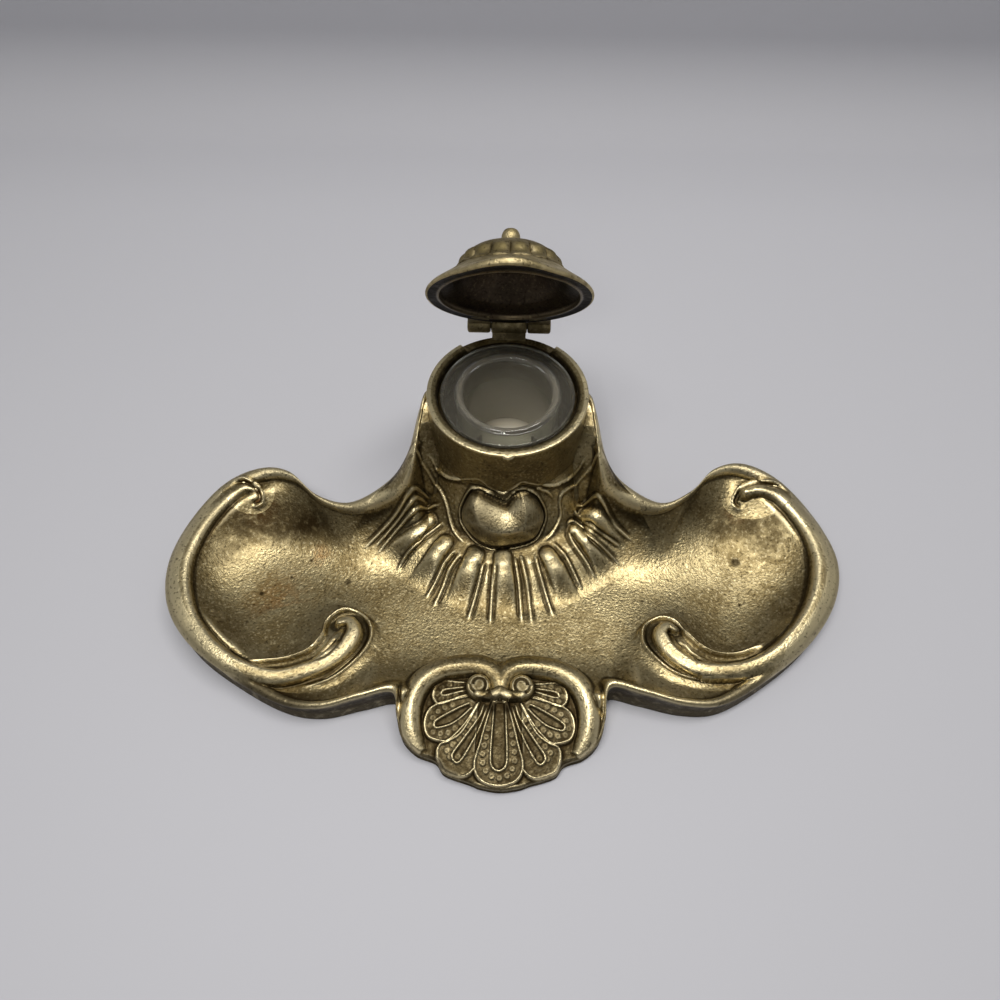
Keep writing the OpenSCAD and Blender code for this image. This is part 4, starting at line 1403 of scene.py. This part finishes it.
def foot_relief(grid, ground, sizes):
    """The collar, the boss, the scrolls beside it and the fan of fingers and rays."""
    boss_rise, finger_rise, ray_height = (
        v / MM for v in (sizes.boss_rise, sizes.finger_rise, sizes.ray_height))
    x, y = grid[..., 0], grid[..., 1]
    relief = np.zeros(grid.shape[:2])
    d, t, side, _ = near(grid, curve(COLLAR, 6), 6, 3)
    ends = ends_of(t, 0.05, 0.05)
    relief += np.where(side < 0, -COLLAR_UNDER[0] * bell(d, 0, COLLAR_UNDER[1]),
                       COLLAR_ABOVE[0] * bell(d, 0, COLLAR_ABOVE[1])) * ends
    relief += COLLAR_LINE[0] * ridge_of(d, COLLAR_LINE[1]) * ends
    boss = curve(BOSS_RING, 5)
    within = inside_of(grid[..., :2], boss[:, :2]) & (grid[..., 2] < BOSS_TOP)
    d = near(grid, boss, 12, 3)[0]
    d = np.where(np.isfinite(d), d, 12.0)
    share = np.clip(d - BOSS_INSET, 0, BOSS_RUN) / BOSS_RUN
    pillow = np.sqrt(np.clip(1 - (1 - share) ** 2, 0, 1))
    relief = np.where(within, relief * 0.2 + boss_rise * pillow - BOSS_SET, relief)
    high, half, deep, beside, width = BOSS_LINE
    relief += high * ridge_of(d, half)
    relief -= deep * bell(d, beside, width)
    for points in (*S_CURVES, CRESCENT):
        path = ground.draped(points) if len(points[0]) == 2 else curve(points, 5)
        d, t, _, _ = near(grid, path, 4, 3)
        line = ends_of(t, 0.08, 0.1) * chased_line(d, *SCROLL_LINE)
        relief = np.where(within, relief, relief + line)
    for points, head, foot in FINGERS:
        d, t, _, _ = near(grid, ground.draped(points, 8), 6, 3)
        u = np.where(np.isfinite(d), d / (head + (foot - head) * t), 9)
        rise = finger_rise * smooth_step((0.96 - t) / 0.7)
        relief = np.maximum(relief, rise * np.clip(1 - u ** 2, 0, 1) ** 0.6)
    for points in RAYS:
        d, t, _, _ = near(grid, ground.draped(points), 4, 3)
        relief += ends_of(t, 0.12, 0.2) * chased_line(d, ray_height, *RAY_LINE)
    out_r = np.hypot(x, y)
    swing = np.abs(np.degrees(np.arctan2(x, -y)))
    relief += (FAN_SWELL * smooth_step((FAN_OUT[0] - out_r) / FAN_OUT[1])
               * smooth_step((out_r - FAN_IN[0]) / FAN_IN[1])
               * smooth_step((FAN_TURN[0] - swing) / FAN_TURN[1]))
    dirt = WALL_DIRT * smooth_step((WELL_R + 0.6 - out_r) / 0.4)
    # The boss is painted dark except round one spot, which is kept as a painted highlight
    from_painted_highlight = np.hypot(x - BOSS_PAINTED_HIGHLIGHT[0], y - BOSS_PAINTED_HIGHLIGHT[1])
    painted_boss_shade = BOSS_PAINTED_SHADE * (1 - bell(from_painted_highlight, 0, BOSS_PAINTED_HIGHLIGHT[2]))
    return relief, np.where(within, painted_boss_shade, dirt)


# ---- shell ----
SHELL_X = -0.4
SHELL_MIDDLE = (SHELL_X, -97.0)
# Crest of the left arm, from the middle out and down: x, y, height. All of the shell's
# curves are its left half, and the right half mirrors them.
CREST = (
    (-0.4, -93.9, 14.4), (-1.2, -91.2, 14.7), (-2.3, -88.6, 14.9), (-4.6, -86.6, 15),
    (-8, -85.5, 14.9), (-13, -85.4, 14.5), (-18.5, -86.2, 14), (-23.3, -88.4, 13.5),
    (-26.6, -91.6, 12.9), (-28.5, -96, 12.1), (-29, -101, 11), (-28.2, -105.4, 9.7),
    (-26.6, -109, 8.1), (-24.6, -111.8, 6.4),
)
# How an arm falls: outside it is round, and inside it is flat, then steep
ARM_R = 4.6
ARM_FALL = 4.4
ARM_REACH = 7.0
ARM_FLAT = 2.7
ARM_BOW = 0.13
ARM_SLOPE = 0.2
ARM_STEP = 1.49
ARM_STEEP = 2.2
# Cone that the fan's lobes lie on
FAN_TOP = 13.2
FAN_FALL = 0.31
FAN_SQUEEZE = 0.62
FAN_BACK = -92.0
# Heights on the fan: lobes, their edge lines, their sunk hearts and the pearls on them
LOBE_RISE = 0.75
LOBE_LINE = 0.5
HEART_SINK = 0.35
PEARL_RISE = 0.25
# Share of a lobe's length where its pearls start and stop, and the dimple in each
PEARL_SPAN = (0.16, 0.86)
PEARL_DIMPLE = (0.6, 0.45)
# Dirt and painted shade on the fan's ground between its lines
FAN_DIRT_AND_SHADE = 0.8
# Painted shadow under the bridge between the eyes: its strength, then its middle x, y and outer
# radius
BRIDGE_SHADOW = 0.95
BRIDGE_SHADOW_SPOT = (SHELL_X, -94.0, 9.0)
# Eye of each volute: middle, radius, height, how far its face falls, and the depth and
# width of its groove, which winds in from its radius by so much with each turn of one radian
EYE = (-7.4, -92.5)
EYE_R = 4.1
EYE_TOP = 15.6
EYE_FALL = 3.5
EYE_GROOVE = (0.7, 0.38)
EYE_SPIRAL = (2.35, 0.16)
# Bar that joins the two eyes: its half width and rise, then x, y, height
BRIDGE_R = 1.35
BRIDGE_RISE = 0.8
BRIDGE = ((-7.4, -95.2, 14.9), (-4.6, -95.8, 14.9), (-2.3, -95.3, 14.9), (-0.4, -94, 14.6))
# Lobes of the fan, each as its outer edge and the edge of its heart: x, y
LOBE_MIDDLE = (
    ((-2.6, -97), (-4.5, -102.5), (-6.5, -109.5), (-8, -114.5), (-7.5, -118), (-5, -120.4),
     (-0.4, -121.4)),
    ((-2.2, -97.5), (-2.5, -103), (-3, -112), (-2.6, -115.8), (-0.4, -117.2)),
)
LOBES = (
    (((-7.2, -97.5), (-10.2, -102.8), (-13, -106.6), (-16.5, -108.8), (-19, -109.6),
      (-20, -111.5), (-19.6, -114.5), (-18.4, -117), (-14, -118.9), (-10.5, -118.6),
      (-8.2, -116.8)),
     ((-5.5, -98), (-7.3, -102.2), (-12.2, -108.7), (-15, -112.5), (-14.4, -114.6),
      (-12.5, -114.5), (-8.7, -108.7), (-6.4, -104), (-4.4, -98.6))),
    (((-10.5, -95.3), (-15, -96.2), (-21, -97.6), (-23.8, -100), (-24.5, -104), (-23, -107.3),
      (-19, -108.7), (-16.4, -108.4), (-12.5, -105), (-9.6, -101.2), (-7.6, -97.9)),
     ((-10.4, -97.6), (-14, -99), (-20.3, -102.2), (-21.4, -103.7), (-20.2, -104.8),
      (-15.6, -103.6), (-12.3, -101.4), (-9.6, -99))),
    (((-11, -91), (-15.3, -90.4), (-18.5, -90), (-21.3, -91.4), (-22.4, -94), (-21.6, -96.4),
      (-19.5, -97.5), (-14, -95.7), (-10.8, -94.9)),
     ((-11.2, -92.3), (-15.2, -92.6), (-18.4, -92.9), (-19.6, -93.9), (-18.6, -94.8),
      (-13.5, -93.8), (-11, -93.5))),
)


def flipped(points):
    """The points of the right half that mirror these."""
    return tuple((2 * SHELL_X - p[0], *p[1:]) for p in points)


def lobe_pairs():
    """Outer edge and heart of each lobe of the fan, over both halves."""
    pairs = [[half + flipped(half)[-2::-1] for half in LOBE_MIDDLE]]
    for outer, inner in LOBES:
        pairs += [(outer, inner), (flipped(outer), flipped(inner))]
    return pairs


def fan_relief(x, y, sizes):
    """Height of the fan, and the dirt and painted shade on it: lobes, edge lines, sunk hearts and
    pearls, and painted shadow under the bridge.
    """
    plan = np.stack([x, y], -1)
    pearl_r = sizes.pearl_radius / MM
    pearls = []
    raised = np.zeros(x.shape)
    lines = np.zeros(x.shape)
    hollow = np.zeros(x.shape)
    for order, (outer, inner) in enumerate(lobe_pairs()):
        edge, heart = curve(outer, 6), curve(inner, 6)
        d = np.minimum(near(plan, edge, 3)[0], 3.0)
        signed = np.where(inside_of(plan, edge), d, -d)
        step = 1.15 if order == 0 else 1.0
        raised = np.maximum(raised, step * smooth_step(signed + 0.9))
        lines = np.maximum(lines, ridge_of(d, 0.7))
        d = np.minimum(near(plan, heart, 3)[0], 3.0)
        lines = np.maximum(lines, 0.85 * ridge_of(d, 0.62))
        hollow = np.maximum(hollow, np.where(inside_of(plan, heart), smooth_step(d), 0))
        between = (spaced(edge, 60) + spaced(heart, 60)) / 2
        along = lengths_along(between)
        first, last = (along[-1] * share for share in PEARL_SPAN)
        pearls += [(np.interp(s, along, between[:, 0]), np.interp(s, along, between[:, 1]))
                   for s in np.arange(first, last, sizes.pearl_step / MM)]
    beads = np.zeros(x.shape)
    for px, py in pearls:
        r = np.hypot(x - px, y - py)
        dimple = PEARL_DIMPLE[0] * bell(r, 0, PEARL_DIMPLE[1] * pearl_r)
        beads = np.maximum(beads, np.sqrt(np.clip(1 - (r / pearl_r) ** 2, 0, 1)) - dimple)
    cone = FAN_TOP - FAN_FALL * np.hypot(FAN_SQUEEZE * (x - SHELL_X), y - FAN_BACK)
    fan = (cone + LOBE_RISE * raised + LOBE_LINE * lines - HEART_SINK * hollow
           + PEARL_RISE * beads * (1 - lines))
    dirt = FAN_DIRT_AND_SHADE * shell_share(x, y) * (1 - lines) * (1 - 0.3 * beads)
    # Painted shadow under the bridge
    bridge_shadow = smooth_step((BRIDGE_SHADOW_SPOT[2] - np.hypot(x - BRIDGE_SHADOW_SPOT[0], y - BRIDGE_SHADOW_SPOT[1])) / 3)
    return fan, np.maximum(dirt, BRIDGE_SHADOW * bridge_shadow)


def arm_height(d, crest_z, inner):
    """Height of an arm at that distance from its crest, on its inner or its outer side."""
    outside = crest_z - ARM_FALL * (1 - np.sqrt(np.clip(1 - (d / ARM_R) ** 2, 0, 1)))
    outside = np.where(d < ARM_R, outside, NOWHERE)
    inside = crest_z - ARM_BOW * d ** 2 - ARM_SLOPE * d
    inside = np.where(d < ARM_FLAT, inside, crest_z - ARM_STEP - ARM_STEEP * (d - ARM_FLAT))
    inside = np.where(d < ARM_REACH, inside, NOWHERE)
    return np.where(inner, inside, outside)


def shell_relief(grid, sizes):
    """Heights over the shell: arms, volutes and the fan's lobes with their pearls."""
    x, y, base = grid[..., 0], grid[..., 1], grid[..., 2]
    plan = grid[..., :2]
    fan, dirt = fan_relief(x, y, sizes)
    surface = base + (np.maximum(fan, base - 3) - base) * shell_share(x, y)
    for mirror in (False, True):
        crest = curve(flipped(CREST) if mirror else CREST, 6)
        d, t, side, v = near(plan, crest, 8)
        d = np.where(np.isfinite(d), d, 20.0)
        inner = (side > 0) != mirror
        arm = np.where(t > 0.995, NOWHERE, arm_height(d, v[..., 2], inner))
        # Arms get light dirt, and painted shade on their inner slope from 2 mm off the crest
        dirt = np.where(arm > surface - 0.1, 0.12 + 0.4 * smooth_step((d - 2) / 1) * inner, dirt)
        surface = np.maximum(surface, arm)
        ex = 2 * SHELL_X - EYE[0] if mirror else EYE[0]
        r = np.hypot(x - ex, y - EYE[1])
        turn = np.arctan2(y - EYE[1], (ex - x) if mirror else (x - ex))
        face = EYE_TOP - EYE_FALL * (1 - np.sqrt(np.clip(1 - (r / EYE_R) ** 6, 0, 1)))
        groove_r = EYE_SPIRAL[0] - EYE_SPIRAL[1] * turn
        face = face - EYE_GROOVE[0] * bell(r, groove_r, EYE_GROOVE[1])
        surface = np.where(r < EYE_R, np.maximum(face, surface - 1.0), surface)
        dirt = np.where(r < EYE_R, 0.1 + 0.5 * smooth_step((3.4 - r) / 0.8), dirt)
        bridge = curve(flipped(BRIDGE) if mirror else BRIDGE, 6)
        d, _, _, v = near(plan, bridge, 3)
        u = np.where(np.isfinite(d), d / BRIDGE_R, 9)
        rod = v[..., 2] + BRIDGE_RISE * np.sqrt(np.clip(1 - u ** 2, 0, 1))
        surface = np.maximum(surface, np.where(u < 1, rod, NOWHERE))
    return surface, dirt


# Back edge of the shell's patch, from its right end to its left
SHELL_BACK = ((34.5, -99.5), (34, -92), (30, -84.5), (22, -80.2), (10, -78.8), (0, -79.8),
              (-10, -78.8), (-22, -80.2), (-30, -84.5), (-34, -92), (-34.5, -99.5))


# How far the patch stays inside the shell's rim, and its narrower fade at the front
SHELL_INSET = 0.25
FRONT_FADE = 0.9
FRONT_Y = -98.0
FRONT_RUN = 6.0


def shell_reach():
    """Distance from the fan's middle to the patch's edge in each direction."""
    left = [(-x, *rest) for x, *rest in SHELL_RIM]
    front = curve([*left, SHELL_TIP, *SHELL_RIM[::-1]], 12)[:, :2]
    centre = np.array(SHELL_MIDDLE)
    away = np.linalg.norm(front - centre, axis=1)[:, None]
    front = centre + (front - centre) * (1 - SHELL_INSET / away)
    back = curve(SHELL_BACK, 8)[:, :2]
    points = np.vstack([front, back]) - centre
    angle = np.arctan2(points[:, 1], points[:, 0])
    order = np.argsort(angle)
    angle, r = angle[order], np.hypot(*points[order].T)
    angle = np.concatenate([angle[-3:] - 2 * math.pi, angle, angle[:3] + 2 * math.pi])
    r = np.concatenate([r[-3:], r, r[:3]])
    return lambda a: np.interp((a + math.pi) % (2 * math.pi) - math.pi, angle, r)


class ShellPatch(RoundPatch):
    """The shell, whose own height replaces the tray's inside its edge."""

    def carved(self, ground, sizes):
        """The patch's points at the shell's own heights, and the dirt and painted shade on them.
        """
        grid = self.grid(ground)[0]
        surface, dirt = shell_relief(grid, sizes)
        margin = self.margin(grid[..., 0], grid[..., 1])
        at_front = smooth_step((FRONT_Y - grid[..., 1]) / FRONT_RUN)
        fade = smooth_step(margin / (EDGE_FADE + (FRONT_FADE - EDGE_FADE) * at_front))
        z = grid[..., 2] + (surface - grid[..., 2]) * fade + LIFT
        return np.dstack([grid[..., :2], z]), dirt


def build_shell(patch, ground, sizes, material):
    """The shell at the front of the tray."""
    grid, dirt = patch.carved(ground, sizes)
    grid[0] = grid[0].mean(0)
    normal = normals_of(grid, True)
    normal *= np.sign(normal[..., 2:3] + 1e-9)
    ridge = ridges_of(grid, normal, True)
    faces = grid_faces(*grid.shape[:2], True)[:, ::-1]
    obj = make_mesh(patch.name, grid.reshape(-1, 3), faces, "stand", "tray_casting",
                    material)
    paint(obj, "ridge", ridge)
    paint(obj, "dirt", dirt)


# ---- scrolls and hooks in the dishes ----
# Raised line round each scroll, the tongues in its curl, and the hollow at its nose: x, y
RIDGE_LEFT = ((-67.5, -93), (-57, -90.3), (-49, -82.7), (-45.5, -75), (-46.5, -68.7), (-51, -64),
              (-57, -64), (-61, -68.5), (-61.5, -74), (-65, -79.3), (-73.5, -82.7), (-82.5, -84),
              (-87, -83.8))
RIDGE_RIGHT = ((73, -88), (65, -87.2), (57.5, -85), (52, -80), (48.5, -73.7), (49.5, -67.3),
               (54, -64.2), (59.5, -65.5), (63, -70.4), (67, -74.7), (73.5, -77.3), (82, -77),
               (91, -73))
TONGUE_LEFT = ((-55.8, -74.4), (-56.1, -77.1), (-60, -81.9), (-67.2, -84.5))
TONGUES_RIGHT = (((58, -71.3), (59, -75.1), (64.4, -79.6), (68.6, -80.7)),
                 ((61.6, -73.9), (64.1, -77.5), (68, -79.5)))
NOSE_LEFT = (-58.5, -71)
NOSE_RIGHT = (60, -69.8)
TONGUE_LINE = (0.5, 0.7, 0.35, 1.2, 0.6)
NOSE_DEPTH = 1.6
NOSE_DIRT = 0.8


def scroll_relief(ridge_points, tongues, nose, inner_side, roll):
    """The relief of a scroll: its raised line, with a channel inside and a swell outside."""
    def relief(grid, ground, sizes):
        free = 1 - smooth_step((roll_z(grid[..., :2], curve(roll, 6)) + 40) / 5)
        d, t, side, _ = near(grid, ground.draped(ridge_points), 7, 2)
        ends = ends_of(t, 0.12, 0.1)
        inner = side == inner_side
        out = 0.95 * ridge_of(d, 0.95) * ends
        out -= np.where(inner, bell(d, 2.0, 1.1), 0) * ends * free
        out += np.where(~inner, 0.5 * bell(d, 0.8, 2.2), 0) * ends
        for points in tongues:
            d, t, _, _ = near(grid, ground.draped(points), 4, 2)
            out += ends_of(t, 0.15, 0.3) * chased_line(d, *TONGUE_LINE)
        r = np.hypot(grid[..., 0] - nose[0], grid[..., 1] - nose[1])
        out -= NOSE_DEPTH * bell(r, 0, 2.0) * free
        return out, NOSE_DIRT * bell(r, 0, 1.8)
    return relief


# Small hooks where the rolled rims end at the back of each dish: x, y
HOOK_LEFT = ((-103, -17.8), (-99.3, -16.6), (-96.6, -16.8), (-93.3, -18.4), (-91.1, -20.8),
             (-90.7, -23.5), (-92.4, -25.2), (-94.7, -25.8))
HOOK_RIGHT = ((107, -15.8), (102.9, -12.9), (98.3, -12.1), (94.2, -12), (90.5, -13), (87.7, -14.8),
              (85.9, -17.2), (85.8, -19.4), (87.3, -20.9), (89.5, -21.6))


def hook_relief(points, inner_side):
    """The relief of a hook: a thin raised line with a groove inside its curl."""
    def relief(grid, ground, sizes):
        d, t, side, _ = near(grid, ground.draped(points), 5, 2)
        ends = ends_of(t, 0.25, 0.12)
        inner = side == inner_side
        out = 0.6 * ridge_of(d, 0.8) * ends
        out -= np.where(inner, 0.8 * bell(d, 1.2, 0.6), 0) * ends
        out += np.where(~inner, 0.35 * bell(d, 0, 1.8), 0) * ends
        return out, np.zeros(d.shape)
    return relief


# Each patch with its middle, its reach, and its columns and rows
FOOT = FootPatch(foot_relief)
SHELL = ShellPatch("shell_relief", SHELL_MIDDLE, shell_reach(), 720, 120)
SCROLLS = (
    RoundPatch("left_scroll_relief", (-66, -77.5), ellipse_reach(26, 17.5), 420, 90,
               scroll_relief(RIDGE_LEFT, (TONGUE_LEFT,), NOSE_LEFT, 1, LEFT_ROLL)),
    RoundPatch("right_scroll_relief", (69, -75.5), ellipse_reach(25.5, 15.5), 420, 90,
               scroll_relief(RIDGE_RIGHT, TONGUES_RIGHT, NOSE_RIGHT, -1, RIGHT_ROLL)),
    RoundPatch("left_hook_relief", (-96, -20.8), ellipse_reach(9.5, 7.5), 160, 34,
               hook_relief(HOOK_LEFT, -1)),
    RoundPatch("right_hook_relief", (94, -17.5), ellipse_reach(12.5, 7.5), 180, 34,
               hook_relief(HOOK_RIGHT, 1)),
)
PATCHES = [FOOT, SHELL, *SCROLLS]


# ---- what a user can change ----
def length(label, mm, words):
    """A length that the user sets, written here in millimetres."""
    return bpy.props.FloatProperty(name=label, description=words, default=mm * MM, min=0.0,
                                   precision=5, subtype="DISTANCE", unit="LENGTH")


def tint(label, code, words):
    """A colour that the user sets, written here as sRGB hex."""
    return bpy.props.FloatVectorProperty(name=label, description=words, default=linear(code),
                                         size=3, min=0.0, max=1.0, subtype="COLOR")


class InkstandSizes(bpy.types.PropertyGroup):
    """Sizes of the ornament and of the cast skin, and the stage's light"""

    gadroons: bpy.props.IntProperty(
        name="Gadroons", description="Lobes round the lid's dome", default=16, min=6, max=40)
    gadroon_swell: length("Gadroon swell", 1.8, "How far the lobes stand out of the dome")
    boss_rise: length("Boss rise", 8.5, "How far the boss swells out of the well's foot")
    finger_rise: length("Finger rise", 2.2, "Height of the fan's raised fingers")
    ray_height: length("Ray height", 0.62, "Height of the thin rays between the fingers")
    pearl_radius: length("Pearl radius", 1.05, "Radius of the pearls on the shell's lobes")
    pearl_step: length("Pearl spacing", 2.5, "Distance from one pearl to the next")
    pit_depth: length("Pit depth", 0.12, "Depth of the pits that the sand mould leaves")
    lamp_power: bpy.props.FloatProperty(
        name="Ceiling lamp", description="Power of the wide lamp overhead", default=8.1,
        min=0.0, unit="POWER")


class InkstandColours(bpy.types.PropertyGroup):
    """Colours of the three brass finishes, the glass and the backdrop"""

    tray_aged: tint("Tray, aged", "#9F916C", "Gilding as it has aged on the tray")
    tray_rubbed: tint("Tray, rubbed", "#D6C8A0", "Ridges of the tray that hands rub")
    tray_tarnish: tint("Tray, tarnish", "#6E5F3E", "Clouds of tarnish on the tray")
    # The tray's recess colour is also the colour of its painted shade
    tray_recess: tint("Tray, recess", "#2E2414", "Dirt in the tray's grooves and pits")
    tray_rust: tint("Tray, stain", "#8A5A2A", "Orange-brown stains on the tray")
    lid_aged: tint("Lid, aged", "#C2B38B", "Dull brass of the lid")
    lid_rubbed: tint("Lid, rubbed", "#A39568", "Ridges of the lid that hands rub")
    lid_tarnish: tint("Lid, tarnish", "#746848", "Clouds of tarnish on the lid")
    lid_recess: tint("Lid, recess", "#2C2417", "Dirt in the lid's grooves and pits")
    lid_rust: tint("Lid, stain", "#8A5A2A", "Orange-brown stains on the lid")
    inside_aged: tint("Inside, aged", "#4A4034", "Dark brass inside the lid and on the pin")
    inside_rubbed: tint("Inside, rubbed", "#6A5E48", "Worn edges of the dark brass")
    inside_tarnish: tint("Inside, tarnish", "#352C24", "Clouds of tarnish on the dark brass")
    # The inside recess colour is also the painted shade under the lid's brim
    inside_recess: tint("Inside, recess", "#1C1611", "Ink and dirt on the dark brass")
    inside_rust: tint("Inside, stain", "#5A4030", "Brown stains on the dark brass")
    glass: tint("Glass", "#E6E9E2", "Clear glass of the liner")
    film: tint("Film", "#D0C9B8", "Dried ink and lime on the glass")
    paper: tint("Paper", "#BBBCC3", "Backdrop paper")


# Name and roughness, from rubbed to tarnished, of each brass finish
FINISHES = {
    "tray": ("sand_cast_gilt_brass", (0.29, 0.47)),
    "lid": ("sand_cast_dull_brass", (0.45, 0.62)),
    "inside": ("sand_cast_tarnished_brass", (0.3, 0.5)),
}
TONES = ("aged", "rubbed", "tarnish", "recess", "rust")


def brass_for(place, scene):
    """The brass of the tray, the lid or its inside, in the colours that are set."""
    name, rough = FINISHES[place]
    colours = [tuple(getattr(scene.inkstand_colours, f"{place}_{tone}")) for tone in TONES]
    return cast_brass(name, colours, rough, scene.inkstand_sizes.pit_depth)


# ---- operators, panel and registration ----
class INKSTAND_OT_stage(bpy.types.Operator):
    """Adds the camera, the paper backdrop, the room's light and the lamps"""

    bl_idname = "inkstand.stage"
    bl_label = "Stage"

    def execute(self, context):
        scene = context.scene
        scene.view_settings.view_transform = "Standard"
        build_camera()
        build_floor(tuple(scene.inkstand_colours.paper))
        build_room()
        build_lamp("ceiling_lamp", *CEILING_LAMP, scene.inkstand_sizes.lamp_power)
        build_lamp("front_lamp", *FRONT_LAMP, FRONT_LAMP_POWER)
        return {"FINISHED"}


class INKSTAND_OT_tray(bpy.types.Operator):
    """Adds the tray casting: dishes, well, hinge lug and the chased ornament"""

    bl_idname = "inkstand.tray"
    bl_label = "Tray casting"

    def execute(self, context):
        sizes = context.scene.inkstand_sizes
        brass = brass_for("tray", context.scene)
        ground = Ground(build_tray(brass))
        for patch in (FOOT, *SCROLLS):
            build_patch(patch, ground, sizes, brass)
        build_shell(SHELL, ground, sizes, brass)
        build_well(brass)
        build_lug(brass_for("lid", context.scene))
        return {"FINISHED"}


class INKSTAND_OT_liner(bpy.types.Operator):
    """Adds the pressed glass liner in the well"""

    bl_idname = "inkstand.liner"
    bl_label = "Glass liner"

    def execute(self, context):
        colours = context.scene.inkstand_colours
        build_liner(pressed_glass(tuple(colours.glass), tuple(colours.film)))
        return {"FINISHED"}


class INKSTAND_OT_lid(bpy.types.Operator):
    """Adds the gadrooned lid with its knob, hollow and two knuckles"""

    bl_idname = "inkstand.lid"
    bl_label = "Lid casting"

    def execute(self, context):
        painted_boss_shade = brass_for("lid", context.scene)
        build_lid(context.scene.inkstand_sizes, painted_boss_shade, brass_for("inside", context.scene))
        build_knuckles(painted_boss_shade)
        return {"FINISHED"}


class INKSTAND_OT_hinge_pin(bpy.types.Operator):
    """Adds the pin through the lug and the knuckles"""

    bl_idname = "inkstand.hinge_pin"
    bl_label = "Hinge pin"

    def execute(self, context):
        build_pin(brass_for("inside", context.scene))
        return {"FINISHED"}


OPERATORS = (INKSTAND_OT_stage, INKSTAND_OT_tray, INKSTAND_OT_liner, INKSTAND_OT_lid,
             INKSTAND_OT_hinge_pin)


class INKSTAND_PT_sidebar(bpy.types.Panel):
    """Sizes, colours and pieces of the inkstand"""

    bl_idname = "INKSTAND_PT_sidebar"
    bl_label = "Inkstand"
    bl_space_type = "VIEW_3D"
    bl_region_type = "UI"
    bl_category = "Inkstand"

    def draw(self, context):
        column = self.layout.column(align=True)
        scene = context.scene
        for group in (scene.inkstand_sizes, scene.inkstand_colours):
            for name in type(group).__annotations__:
                column.prop(group, name)
            column.separator()
        for operator in OPERATORS:
            column.operator(operator.bl_idname)


CLASSES = (InkstandSizes, InkstandColours, *OPERATORS, INKSTAND_PT_sidebar)


def register():
    for item in CLASSES:
        bpy.utils.register_class(item)
    bpy.types.Scene.inkstand_sizes = bpy.props.PointerProperty(type=InkstandSizes)
    bpy.types.Scene.inkstand_colours = bpy.props.PointerProperty(type=InkstandColours)


def unregister():
    del bpy.types.Scene.inkstand_colours
    del bpy.types.Scene.inkstand_sizes
    for item in reversed(CLASSES):
        bpy.utils.unregister_class(item)


def main():
    """Builds the whole inkstand."""
    register()
    bpy.ops.inkstand.stage()
    bpy.ops.inkstand.tray()
    bpy.ops.inkstand.liner()
    bpy.ops.inkstand.lid()
    bpy.ops.inkstand.hinge_pin()


if __name__ == "__main__":
    main()
